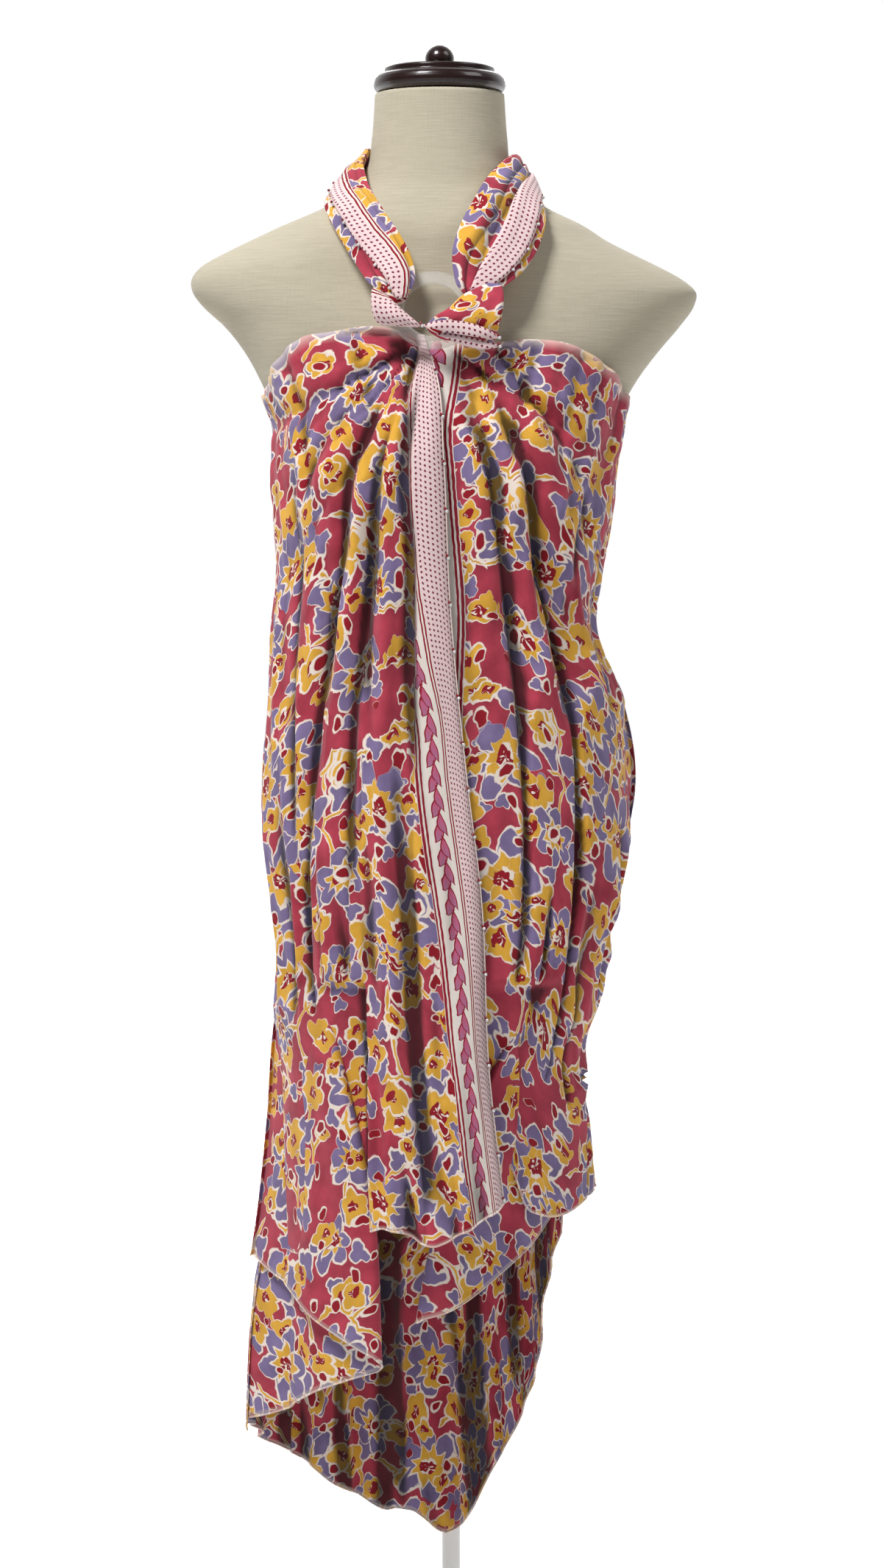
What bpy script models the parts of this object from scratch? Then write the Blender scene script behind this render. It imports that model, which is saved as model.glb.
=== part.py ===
"""Sarong on a dress form.

One rectangle of cotton voile is wound round a linen-covered dress form from the back to the front. Its two
upper corners are drawn past a clear ring at the chest and knotted behind the neck. The left front lies over the
right front, and a pleat turned in at each side lets the hem fall in steps to the longest point at the back.

Metres. +Z is up, the front faces -Y and +X is the viewer's right. The origin is the middle of the base's
underside. The tables below are in millimetres.
"""
import math

import bmesh
import bpy
import numpy as np

MM = 0.001
NAME = "Sarong_on_dress_form"

# Cloth
CLOTH_WALL = 1.6
SEAM_GAP = 0.3
OVALNESS = 2.2
FORM_CLEARANCE = 1.2
MEAN_RADIUS = 140.0
UNDERLAP_INSET = 7.5
UNDERLAP_START = 0.03
UNDERLAP_SPAN = 0.22

# Stand and ring
BASE_RADIUS = 180.0
BASE_HEIGHT = 5.0
BASE_EDGE = 1.5
POLE_RADIUS = 8.0
POLE_X = 10.0
POLE_Y = 150.0
POLE_TOP = 1384.0
STAND_GAP = 0.3
ARM_Z = 1370.0
FLANGE_RADIUS = 20.0
FLANGE_FACE_Y = 103.6
FLANGE_DEPTH = 4.0
RING_OUTER = 33.0
RING_INNER = 22.0
RING_DEPTH = 4.0
RING_CENTRE = (-5.0, -113.5, 1398.0)
RING_LEAN = math.radians(24.0)

# Cap: the neck stands in its underside's plane
NECK_AXIS_Y = -10.0
CAP_BOTTOM = 1573.0
CAP_PROFILE = (  # radius and height above the cap's underside, from the top down
    ("top", 0.0, 20.5),
    ("plate_top", 42.0, 20.5),
    ("plate_edge", 44.0, 18.5),
    ("plate_foot", 44.0, 15.5),
    ("rim_shoulder", 49.0, 14.5),
    ("rim_upper", 51.6, 11.5),
    ("rim_widest", 52.5, 7.5),
    ("rim_lower", 51.6, 3.5),
    ("rim_foot", 49.0, 0.6),
    ("underside_edge", 46.0, 0.0),
    ("underside", 0.0, 0.0),
)
KNOB_PROFILE = (
    ("top", 0.0, 17.4),
    ("crown", 4.6, 16.5),
    ("upper", 8.6, 13.6),
    ("shoulder", 11.0, 10.0),
    ("widest", 11.6, 6.2),
    ("lower", 10.2, 2.6),
    ("waist", 7.6, 0.9),
    ("foot", 8.6, 0.0),
    ("underside", 0.0, 0.0),
)

# Dress form: half widths to each side, and how far it comes forward and back of the axis
FORM_SECTIONS = (  # z, left, right, front, back
    (1572.5, 51.5, 51.5, 61.0, 41.0),
    (1539.0, 54.0, 54.0, 63.0, 44.0),
    (1516.0, 58.0, 57.0, 66.0, 50.0),
    (1497.0, 71.0, 67.0, 70.0, 60.0),
    (1483.0, 94.0, 87.0, 76.0, 69.0),
    (1469.0, 127.0, 116.0, 82.0, 77.0),
    (1457.5, 152.0, 134.0, 85.0, 82.0),
    (1447.5, 173.0, 154.0, 86.0, 86.0),
    (1438.0, 190.0, 174.0, 87.0, 90.0),
    (1428.0, 198.5, 193.0, 88.0, 92.0),
    (1418.0, 198.0, 205.0, 90.0, 94.0),
    (1407.0, 190.5, 204.0, 93.0, 96.0),
    (1391.0, 173.0, 193.0, 98.0, 99.0),
    (1371.0, 157.0, 176.0, 106.0, 101.0),
    (1350.0, 145.0, 160.0, 114.0, 103.0),
    (1325.0, 134.0, 146.0, 119.0, 104.0),
    (1291.0, 127.0, 138.0, 123.0, 103.0),
    (1250.0, 127.0, 133.0, 123.0, 100.0),
    (1204.0, 121.0, 124.0, 114.0, 93.0),
    (1140.0, 112.0, 112.0, 100.0, 84.0),
    (1080.0, 109.0, 109.0, 92.0, 80.0),
    (1020.0, 113.0, 112.0, 91.0, 84.0),
    (960.0, 117.0, 116.0, 94.0, 94.0),
    (905.0, 115.0, 114.0, 95.0, 98.0),
    (880.0, 111.0, 110.0, 91.0, 94.0),
    (870.0, 103.0, 102.0, 84.0, 87.0),
)

# Wrap: the outermost line of the cloth at each height
WRAP_SECTIONS = (  # z, left, right, front, back
    (1392.0, 184.0, 202.0, 112.0, 106.0),
    (1371.0, 164.0, 183.0, 119.0, 107.0),
    (1350.0, 148.0, 165.0, 127.0, 108.0),
    (1330.0, 138.0, 153.0, 132.0, 109.0),
    (1291.0, 131.0, 144.0, 138.0, 108.0),
    (1250.0, 132.0, 138.0, 139.0, 106.0),
    (1204.0, 131.0, 131.0, 137.0, 103.0),
    (1148.0, 136.0, 125.0, 135.0, 102.0),
    (1094.0, 139.0, 148.0, 135.0, 103.0),
    (1023.0, 143.0, 160.0, 137.0, 108.0),
    (985.0, 143.0, 155.0, 138.0, 113.0),
    (939.0, 138.0, 146.0, 139.0, 118.0),
    (879.0, 132.0, 130.0, 140.0, 122.0),
    (838.0, 135.0, 122.0, 141.0, 124.0),
    (814.0, 138.0, 113.0, 142.0, 125.0),
    (745.0, 143.0, 122.0, 143.0, 127.0),
    (670.0, 151.0, 128.0, 143.0, 129.0),
    (570.0, 166.0, 135.0, 140.0, 131.0),
    (489.0, 170.0, 140.0, 136.0, 131.0),
    (355.0, 174.0, 144.0, 132.0, 129.0),
)

# The bust fills the form and the cloth a little on each side
BUST_X = 72.0
BUST_Z = 1272.0
BUST_SPREAD = 52.0
BUST_RISE = 9.0

# Upper and lower edges of the cloth, by distance from the middle towards the viewer's right
LEFT_TOP = (  # x, z
    (-140.0, 1334.0),
    (-127.0, 1361.0),
    (-111.0, 1376.0),
    (-85.0, 1382.0),
    (-54.0, 1386.0),
    (-10.0, 1379.0),
)
RIGHT_TOP = (
    (-25.0, 1374.0),
    (13.0, 1375.0),
    (44.0, 1374.0),
    (79.0, 1376.0),
    (108.0, 1370.0),
    (126.0, 1360.0),
    (143.0, 1344.0),
    (152.0, 1328.0),
)
LEFT_HEM = (
    (-150.0, 644.0),
    (-141.0, 645.0),
    (-97.0, 664.0),
    (-58.0, 681.0),
    (-45.0, 687.0),
    (-33.0, 686.0),
    (-9.0, 673.0),
    (23.0, 687.0),
    (52.0, 705.0),
)
RIGHT_HEM = (
    (-50.0, 742.0),
    (45.0, 731.0),
    (62.0, 731.0),
    (73.0, 724.0),
    (84.0, 694.0),
    (94.0, 686.0),
    (115.0, 683.0),
    (125.0, 690.0),
)
BACK_HEM = (
    (-163.0, 487.0),
    (-151.0, 459.0),
    (-140.0, 446.0),
    (-115.0, 423.0),
    (-91.0, 398.0),
    (-78.0, 391.0),
    (-52.0, 375.0),
    (-27.0, 371.0),
    (-14.0, 363.0),
    (-1.0, 352.0),
    (8.0, 349.0),
    (14.0, 351.0),
    (25.0, 366.0),
    (50.0, 417.0),
    (76.0, 478.0),
    (88.0, 524.0),
    (95.0, 575.0),
    (103.0, 640.0),
    (118.0, 692.0),
)
BACK_TOP_SIDES = (1334.0, 1328.0)
BACK_TOP_MIDDLE = 1318.0

# Front edges of the two panels
LEFT_EDGE = (  # z, x
    (700.0, 52.0),
    (816.0, 39.0),
    (942.0, 33.0),
    (1040.0, 21.0),
    (1174.0, 8.0),
    (1284.0, 3.0),
    (1347.0, -2.0),
    (1379.0, -12.0),
)
RIGHT_EDGE = (
    (700.0, -50.0),
    (1095.0, -50.0),
    (1200.0, -45.0),
    (1300.0, -24.0),
    (1379.0, -5.0),
)

# Folds: where each lies at five heights, and how deep it is there. A negative depth is a ridge.
FOLD_HEIGHTS = (680.0, 1050.0, 1200.0, 1290.0, 1365.0)
LEFT_FOLDS = (  # name, half width, x at each height, depth at each height
    ("from_ring_to_underarm", 9.0, (-120, -116, -108, -92, -33), (0, 0, 1, 4, 6)),
    ("below_ridge_one", 11.0, (-124, -118, -114, -106, -60), (1, 2, 4, 2, 1)),
    ("long_trough", 9.0, (-98, -103, -79, -62, -27), (5, 8, 8, 7, 5)),
    ("beside_long_trough", 9.0, (-76, -84, -65, -50, -22), (-4, -3, -3, -3, -3)),
    ("middle_trough", 8.0, (-62, -70, -54, -42, -18), (5, 6, 7, 6, 3)),
    ("middle_ridge", 9.0, (-33, -45, -38, -33, -14), (-5, -4, -4, -3, -2)),
    ("beside_border", 7.0, (-12, -22, -24, -28, -10), (4, 4, 5, 6, 2)),
    ("border_ridge", 12.0, (22, -4, -10, -12, -6), (-3, -2, -2, -3, 0)),
)
RIGHT_FOLDS = (
    ("inner_trough", 8.0, (46, 68, 50, 38, 14), (3, 6, 6, 6, 3)),
    ("inner_ridge", 9.0, (60, 88, 66, 50, 20), (3, -4, -4, -4, -2)),
    ("long_trough", 9.0, (76, 112, 80, 58, 27), (6, 6, 8, 7, 4)),
    ("long_ridge", 10.0, (98, 134, 98, 76, 36), (-6, -4, -3, -3, -3)),
    ("from_ring_to_shoulder", 8.0, (118, 142, 118, 98, 44), (0, 0, 1, 3, 5)),
)
BACK_FOLDS = (  # name, half width, x at each height, depth at each height
    ("left_side", 12.0, (-128, -112, -104, -100, -96), (7, 4, 2, 1, 0)),
    ("left_middle", 13.0, (-88, -72, -60, -50, -40), (-6, -4, -3, -2, 0)),
    ("left_inner", 12.0, (-48, -38, -30, -22, -14), (8, 5, 3, 2, 0)),
    ("middle", 13.0, (-6, -2, 0, 0, 0), (-7, -5, -3, -2, 0)),
    ("right_inner", 12.0, (34, 30, 26, 22, 14), (8, 5, 3, 2, 0)),
    ("right_middle", 13.0, (68, 64, 58, 52, 44), (-6, -4, -3, -1, 0)),
    ("right_side", 12.0, (102, 104, 100, 96, 92), (6, 4, 2, 1, 0)),
)

# The two plies turned in at each side. Bearings in degrees from the front, towards the viewer's right.
PLEAT_TOP = 1135.0
PLEAT_SEAM_SET = 2.0
PLEAT_SPREAD_SHARE = 0.25
BACK_STEP_TOP = 1160.0
BACK_STEP_HEIGHT = 22.0
LEFT_PLEAT_REACH = (  # z, bearing of the inner fold, inset of the outer ply, inset of the inner ply
    (500.0, -17.0, 30.0, 42.0),
    (700.0, -26.0, 24.0, 34.0),
    (870.0, -48.0, 11.0, 17.0),
    (1135.0, -76.0, 6.0, 11.0),
)
RIGHT_PLEAT_REACH = (
    (500.0, -8.0, 32.0, 44.0),
    (700.0, 4.0, 26.0, 36.0),
    (870.0, 42.0, 12.5, 18.5),
    (1135.0, 76.0, 6.0, 11.0),
)
PLY_START = 4.2
PLY_INSET = 8.8
LEFT_PLEAT_HEM = (  # share of the way along both plies, z
    (0.0, 630.0),
    (0.25, 603.0),
    (0.5, 566.0),
    (0.75, 532.0),
    (1.0, 492.0),
)
RIGHT_PLEAT_HEM = (
    (0.0, 700.0),
    (0.25, 655.0),
    (0.5, 602.0),
    (0.75, 650.0),
    (1.0, 705.0),
)

# Gathered stretches: x, y, z of the middle, width across, thickness
LEFT_STRAP = (
    (-20, 74, 1508, 22, 13),
    (-42, 62, 1515, 26, 11),
    (-57, 33, 1520, 25, 8),
    (-62, 2, 1518, 27, 8),
    (-71, -29, 1505, 33, 11),
    (-72, -61, 1487, 38, 12),
    (-60, -86, 1464, 40, 12),
    (-45, -101, 1441, 40, 12),
    (-36, -113, 1424, 36, 11),
    (-33, -118, 1411, 24, 9),
    (-30, -121, 1403, 12, 7),
)
RIGHT_STRAP = (
    (20, 74, 1508, 22, 13),
    (42, 62, 1511, 26, 11),
    (59, 33, 1515, 25, 9),
    (65, 1, 1512, 29, 10),
    (66, -36, 1504, 42, 13),
    (58, -66, 1488, 52, 14),
    (51, -86, 1468, 60, 15),
    (43, -98, 1450, 60, 15),
    (34, -110, 1433, 52, 13),
    (27, -117, 1418, 34, 10),
    (23, -120, 1408, 16, 8),
)
KNOT = (
    (-15, 77, 1507, 20, 14),
    (-8, 79, 1506, 31, 22),
    (0, 80, 1505, 34, 25),
    (8, 79, 1506, 31, 22),
    (15, 77, 1507, 20, 14),
)
LEFT_TIE_END = (
    (-7, 86, 1485, 13, 7),
    (-12, 94, 1470, 24, 5),
    (-18, 99, 1450, 34, 4),
    (-24, 104, 1428, 42, 3),
)
RIGHT_TIE_END = (
    (8, 86, 1485, 13, 7),
    (15, 94, 1468, 26, 5),
    (23, 100, 1444, 36, 4),
    (29, 105, 1418, 44, 3),
)

# Puffs above the ring's foot: x and z of the left edge, x and z of the right edge, y, thickness
LEFT_LOBE = (
    (-51, 1415, -40, 1409, -126, 5),
    (-52, 1410, -33, 1402, -129, 9),
    (-52, 1403, -24, 1394, -132, 12),
    (-51, 1395, -17, 1388, -133, 12),
    (-48, 1386, -13, 1384, -132, 8),
)
RIGHT_LOBE = (
    (36, 1418, 48, 1417, -127, 5),
    (18, 1409, 49, 1407, -130, 11),
    (7, 1399, 48, 1397, -133, 15),
    (-4, 1392, 46, 1387, -134, 15),
    (-10, 1384, 43, 1378, -133, 11),
    (-1, 1375, 41, 1371, -132, 7),
)
STRAP_SIDES = 12
STRAP_STEPS = 2
STRAP_END_SIZE = 0.49
LOBE_END_SIZE = 0.8
LOBE_OVALNESS = 2.6

# Fineness of the grids
FORM_SIDES = 36
PANEL_GRID = (28, 18)
PLEAT_GRID = (21, 10)
PLEAT_TURN_COLUMNS = 5
BACK_GRID = (32, 16)
EDGE_ROUNDS = 12
LIFT_ROUNDS = 4


def clear_scene():
    for old in list(bpy.data.objects):
        bpy.data.objects.remove(old, do_unlink=True)


def principled(name, colour, roughness, metallic=0.0):
    material = bpy.data.materials.new(name)
    material.use_nodes = True
    shader = material.node_tree.nodes["Principled BSDF"]
    shader.inputs["Base Color"].default_value = (*colour, 1.0)
    shader.inputs["Roughness"].default_value = roughness
    shader.inputs["Metallic"].default_value = metallic
    return material


def link(obj, material, collection):
    for old in list(obj.users_collection):
        old.objects.unlink(obj)
    collection.objects.link(obj)
    obj.data.materials.clear()
    obj.data.materials.append(material)
    if obj.type == "MESH":
        obj.data.shade_smooth()
    return obj


def through(xs, ys, x):
    """A smooth curve through the points, which rise in x: cubic pieces whose slopes come from the neighbours."""
    xs = np.asarray(xs, float)
    ys = np.asarray(ys, float)
    slope = np.gradient(ys, xs)
    x = np.clip(x, xs[0], xs[-1])
    i = np.clip(np.searchsorted(xs, x) - 1, 0, len(xs) - 2)
    step = xs[i + 1] - xs[i]
    t = (x - xs[i]) / step
    return (
        (2 * t**3 - 3 * t**2 + 1) * ys[i]
        + (t**3 - 2 * t**2 + t) * step * slope[i]
        + (3 * t**2 - 2 * t**3) * ys[i + 1]
        + (t**3 - t**2) * step * slope[i + 1]
    )


def column(rows, index, x):
    """One column of a table read at x, whose own column is the first."""
    ordered = sorted(rows)
    return through([row[0] for row in ordered], [row[index] for row in ordered], x)


def half_sizes(sections, z):
    return [column(sections, index, z) for index in (1, 2, 3, 4)]


def bearing_of(x, z):
    """The bearing at which the front half of the wrap has this x."""
    left, right, _, _ = half_sizes(WRAP_SECTIONS, z)
    share = np.clip(np.abs(x) / np.where(x < 0, left, right), 0.0, 1.0)
    return np.sign(x) * np.arcsin(share ** (OVALNESS / 2))


def bust(x, y, z):
    """How far the bust pushes the front outwards."""
    high = np.exp(-(((np.abs(x) - BUST_X) ** 2 + (z - BUST_Z) ** 2) / BUST_SPREAD**2))
    return np.where(y < 0, BUST_RISE * high, 0.0)


def oval_point(sections, z, bearing, outward=0.0):
    """A point on the oval section at height z, moved outwards square to the section."""
    left, right, front, back = half_sizes(sections, z)
    sine = np.sin(bearing)
    cosine = np.cos(bearing)
    half_x = np.where(sine < 0, left, right)
    half_y = np.where(cosine > 0, front, back)
    power = 2 / OVALNESS
    x = half_x * np.sign(sine) * np.abs(sine) ** power
    y = -half_y * np.sign(cosine) * np.abs(cosine) ** power
    normal_x = sine / half_x
    normal_y = -cosine / half_y
    size = np.hypot(normal_x, normal_y)
    outward = outward + bust(x, y, z)
    return np.stack([x + normal_x / size * outward, y + normal_y / size * outward, z + 0 * x], axis=-1)


def fold_depth(folds, z, bearing, behind=False):
    """The sum of the folds at each place, outwards positive."""
    total = np.zeros(np.broadcast(z, bearing).shape)
    for _, half_width, places, depths in folds:
        centre = bearing_of(through(FOLD_HEIGHTS, places, z), z)
        if behind:
            centre = -math.pi - centre
        depth = np.interp(z, FOLD_HEIGHTS, depths)
        arc = (bearing - centre) * column(WRAP_SECTIONS, 3, z)
        total -= depth * np.exp(-((arc / half_width) ** 2))
    return total


def grid_object(name, points, material, collection, wall=CLOTH_WALL):
    """An open sheet through a grid of points, given its wall by Solidify."""
    rows, columns = points.shape[:2]
    index = np.arange(rows * columns).reshape(rows, columns)
    corners = (index[:-1, :-1], index[1:, :-1], index[1:, 1:], index[:-1, 1:])
    faces = np.stack(corners, axis=-1).reshape(-1, 4)
    mesh = bpy.data.meshes.new(name)
    mesh.from_pydata((points.reshape(-1, 3) * MM).tolist(), [], faces.tolist())
    mesh.update()
    obj = bpy.data.objects.new(name, mesh)
    collection.objects.link(obj)
    solid = obj.modifiers.new("Wall", "SOLIDIFY")
    solid.thickness = wall * MM
    solid.offset = 0.0
    return link(obj, material, collection)


def ring_loft(name, rings, material, collection):
    """A closed body through rings of points, capped flat at both ends."""
    count, around = rings.shape[:2]
    index = np.arange(count * around).reshape(count, around)
    following = np.roll(index, -1, axis=1)
    corners = (index[:-1], following[:-1], following[1:], index[1:])
    faces = np.stack(corners, axis=-1).reshape(-1, 4).tolist()
    faces.append(index[0][::-1].tolist())
    faces.append(index[-1].tolist())
    mesh = bpy.data.meshes.new(name)
    mesh.from_pydata((rings.reshape(-1, 3) * MM).tolist(), [], faces)
    outward = bmesh.new()
    outward.from_mesh(mesh)
    bmesh.ops.recalc_face_normals(outward, faces=outward.faces)
    outward.to_mesh(mesh)
    outward.free()
    return link(bpy.data.objects.new(name, mesh), material, collection)


def turned(name, profile, base, material, collection, steps=32):
    """A turned body from a profile of radius and height, top first."""
    mesh = bpy.data.meshes.new(name)
    points = [(radius * MM, 0.0, height * MM) for _, radius, height in profile]
    mesh.from_pydata(points, [(i, i + 1) for i in range(len(points) - 1)], [])
    obj = bpy.data.objects.new(name, mesh)
    obj.location = [value * MM for value in base]
    collection.objects.link(obj)
    screw = obj.modifiers.new("Turn", "SCREW")
    screw.steps = steps
    screw.render_steps = steps
    screw.use_merge_vertices = True
    screw.merge_threshold = 0.00005
    return link(obj, material, collection)


def make_form(material, collection):
    """The body of the form: oval rings from the neck down to the flat underside."""
    bearings = np.linspace(0, -2 * math.pi, FORM_SIDES, endpoint=False)
    heights = np.array([row[0] for row in FORM_SECTIONS])
    z, bearing = np.meshgrid(heights, bearings, indexing="ij")
    return ring_loft("form_torso", oval_point(FORM_SECTIONS, z, bearing), material, collection)


def rod(name, radius, start, end, material, collection, sides=20):
    """A straight round bar between two points that share all but one coordinate."""
    start, end = np.asarray(start, float), np.asarray(end, float)
    bpy.ops.mesh.primitive_cylinder_add(
        vertices=sides,
        radius=radius * MM,
        depth=np.linalg.norm(end - start) * MM,
        location=((start + end) / 2 * MM).tolist(),
        rotation=(0.0 if start[2] != end[2] else math.radians(90.0), 0.0, 0.0),
    )
    bar = bpy.context.object
    bar.name = name
    bar.data.name = name
    return link(bar, material, collection)


def make_stand(paint, collection):
    """The stand is behind the cloth: a round plate, an upright, and an arm to a flange on the upper back."""
    base = (
        ("top", 0.0, BASE_HEIGHT),
        ("top_edge", BASE_RADIUS - BASE_EDGE, BASE_HEIGHT),
        ("side_top", BASE_RADIUS, BASE_HEIGHT - BASE_EDGE),
        ("side_foot", BASE_RADIUS, 1.0),
        ("foot", BASE_RADIUS - 1.0, 0.0),
        ("underside", 0.0, 0.0),
    )
    turned("base_plate", base, (0, 0, 0), paint, collection, steps=48)
    rod("stand_pole", POLE_RADIUS, (POLE_X, POLE_Y, BASE_HEIGHT + STAND_GAP), (POLE_X, POLE_Y, POLE_TOP),
        paint, collection)
    flange_back = FLANGE_FACE_Y + FLANGE_DEPTH
    rod("back_flange", FLANGE_RADIUS, (POLE_X, FLANGE_FACE_Y, ARM_Z), (POLE_X, flange_back, ARM_Z),
        paint, collection, sides=28)
    rod("stand_arm", POLE_RADIUS, (POLE_X, flange_back + STAND_GAP, ARM_Z),
        (POLE_X, POLE_Y - POLE_RADIUS - STAND_GAP, ARM_Z), paint, collection)


def make_ring(clear, collection):
    """A flat round-edged ring that leans back against the chest."""
    middle = (RING_OUTER + RING_INNER) / 2
    half_width = (RING_OUTER - RING_INNER) / 2
    half_depth = RING_DEPTH / 2
    sides = 10
    angles = [2 * math.pi * i / sides for i in range(sides)]
    mesh = bpy.data.meshes.new("ring")
    points = []
    for angle in angles:
        across = half_width * math.copysign(abs(math.cos(angle)) ** 0.6, math.cos(angle))
        deep = half_depth * math.copysign(abs(math.sin(angle)) ** 0.6, math.sin(angle))
        points.append(((middle + across) * MM, 0.0, deep * MM))
    edges = [((i + 1) % sides, i) for i in range(sides)]
    mesh.from_pydata(points, edges, [])
    ring = bpy.data.objects.new("ring", mesh)
    ring.location = [value * MM for value in RING_CENTRE]
    ring.rotation_euler = (math.radians(90.0) - RING_LEAN, 0.0, 0.0)
    collection.objects.link(ring)
    screw = ring.modifiers.new("Turn", "SCREW")
    screw.steps = 36
    screw.render_steps = 36
    screw.use_merge_vertices = True
    screw.merge_threshold = 0.00005
    link(ring, clear, collection)


def panel(name, side, edge_rows, top_rows, hem_rows, inset, folds, columns, rows, cloth, collection):
    """A front panel from its own edge near the middle round to the side: side is -1 on the left, 1 on the right.

    At every height its bearing runs evenly from the front edge to the side seam, and its height runs evenly
    from the upper edge to the hem."""
    share = np.linspace(0.0, 1.0, columns)
    seam = side * (math.pi / 2 - SEAM_GAP / 2 / MEAN_RADIUS)

    def bearing_at(z):
        start = bearing_of(column(edge_rows, 1, z), z)
        return start + (seam - start) * share

    def edge_height(edge, z):
        for _ in range(EDGE_ROUNDS):
            x = oval_point(WRAP_SECTIONS, z, bearing_at(z))[..., 0]
            z = 0.5 * z + 0.5 * column(edge, 1, x)
        return z

    top = edge_height(top_rows, np.full(columns, 1370.0))
    hem = edge_height(hem_rows, np.full(columns, 690.0))
    down = np.linspace(0.0, 1.0, rows)[:, None]
    z = top + (hem - top) * down
    bearing = bearing_at(z)
    outward = fold_depth(folds, z, bearing) - inset(z, bearing)
    return grid_object(name, oval_point(WRAP_SECTIONS, z, bearing, outward), cloth, collection)


def under_left_panel(z, bearing):
    """The right front lies inside the left front as far as that one's edge, and comes out beyond it."""
    edge = bearing_of(column(LEFT_EDGE, 1, z), z)
    clear = np.clip((bearing - edge - UNDERLAP_START) / UNDERLAP_SPAN, 0.0, 1.0)
    return UNDERLAP_INSET * (1 - clear * clear * (3 - 2 * clear))


def pleat(name, side, reach, hem_rows, columns, rows, cloth, collection):
    """Two plies turned in behind a front panel: in along the outer ply, round the inner fold and back out."""
    turn = PLEAT_TURN_COLUMNS
    straight = (columns - turn) // 2
    outer = np.linspace(0.0, 1.0, straight, endpoint=False)
    arc = np.linspace(-math.pi / 2, math.pi / 2, turn)
    along = np.concatenate([outer, np.ones(turn), outer[::-1]])
    past = np.concatenate([np.zeros(straight), np.cos(arc), np.zeros(straight)])
    across = np.concatenate([-np.ones(straight), np.sin(arc), np.ones(straight)])
    share = np.linspace(0.0, 1.0, along.size)
    hem = column(hem_rows, 1, share)
    z = PLEAT_TOP + (hem - PLEAT_TOP) * np.linspace(0.0, 1.0, rows)[:, None]
    inner = np.radians(column(reach, 1, z))
    near = column(reach, 2, z)
    far = column(reach, 3, z)
    radius = (far - near) / 2
    seam = side * (math.pi / 2 - PLEAT_SEAM_SET / MEAN_RADIUS)
    bearing = seam + (inner - seam) * along - side * past * radius / MEAN_RADIUS
    opened = np.minimum(along / PLEAT_SPREAD_SHARE, 1.0)
    outer_inset = PLY_START + (near - PLY_START) * opened
    inner_inset = PLY_INSET + (far - PLY_INSET) * opened
    middle = (outer_inset + inner_inset) / 2
    spread = (inner_inset - outer_inset) / 2
    points = oval_point(WRAP_SECTIONS, z, bearing, -(middle + spread * across))
    return grid_object(name, points, cloth, collection)


def make_back(cloth, collection):
    """The stretch round the back, from the left side seam to the right one."""
    columns, rows = BACK_GRID
    gap = SEAM_GAP / 2 / MEAN_RADIUS
    bearing = np.linspace(-math.pi / 2 - gap, -1.5 * math.pi + gap, columns)
    share = np.linspace(-1.0, 1.0, columns)
    sides = BACK_TOP_SIDES[0] + (BACK_TOP_SIDES[1] - BACK_TOP_SIDES[0]) * (share + 1) / 2
    top = BACK_TOP_MIDDLE + (sides - BACK_TOP_MIDDLE) * share**2
    hem = np.full(columns, 500.0)
    for _ in range(EDGE_ROUNDS):
        x = oval_point(WRAP_SECTIONS, hem, bearing, -PLY_INSET)[..., 0]
        hem = 0.5 * hem + 0.5 * column(BACK_HEM, 1, x)
    z = top + (hem - top) * np.linspace(0.0, 1.0, rows)[:, None]
    inside = np.clip((BACK_STEP_TOP - z) / BACK_STEP_HEIGHT, 0.0, 1.0)
    outward = fold_depth(BACK_FOLDS, z, bearing, behind=True) - PLY_INSET * inside
    return grid_object("sarong_back", oval_point(WRAP_SECTIONS, z, bearing, outward), cloth, collection)


def form_gauge(points):
    """1 on the form's surface, less inside it and more outside."""
    x, y, z = np.moveaxis(points, -1, 0)
    left, right, front, back = half_sizes(FORM_SECTIONS, z)
    across = np.abs(x) / np.where(x < 0, left, right)
    deep = np.abs(y) / np.where(y < 0, front, back)
    return (across**OVALNESS + deep**OVALNESS) ** (1 / OVALNESS)


def form_slope(points):
    """How fast the gauge grows along X, Y and Z."""
    steps = np.eye(3)
    return np.stack([form_gauge(points + step) - form_gauge(points - step) for step in steps], axis=-1) / 2


def lifted(points, clearance):
    """Points nearer to the form than the clearance, moved straight off its surface."""
    for _ in range(LIFT_ROUNDS):
        slope = form_slope(points)
        steepness = np.linalg.norm(slope, axis=-1)
        short = np.maximum(0.0, clearance - (form_gauge(points) - 1) / steepness)
        points = points + slope / steepness[..., None] * short[..., None]
    return points


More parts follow.
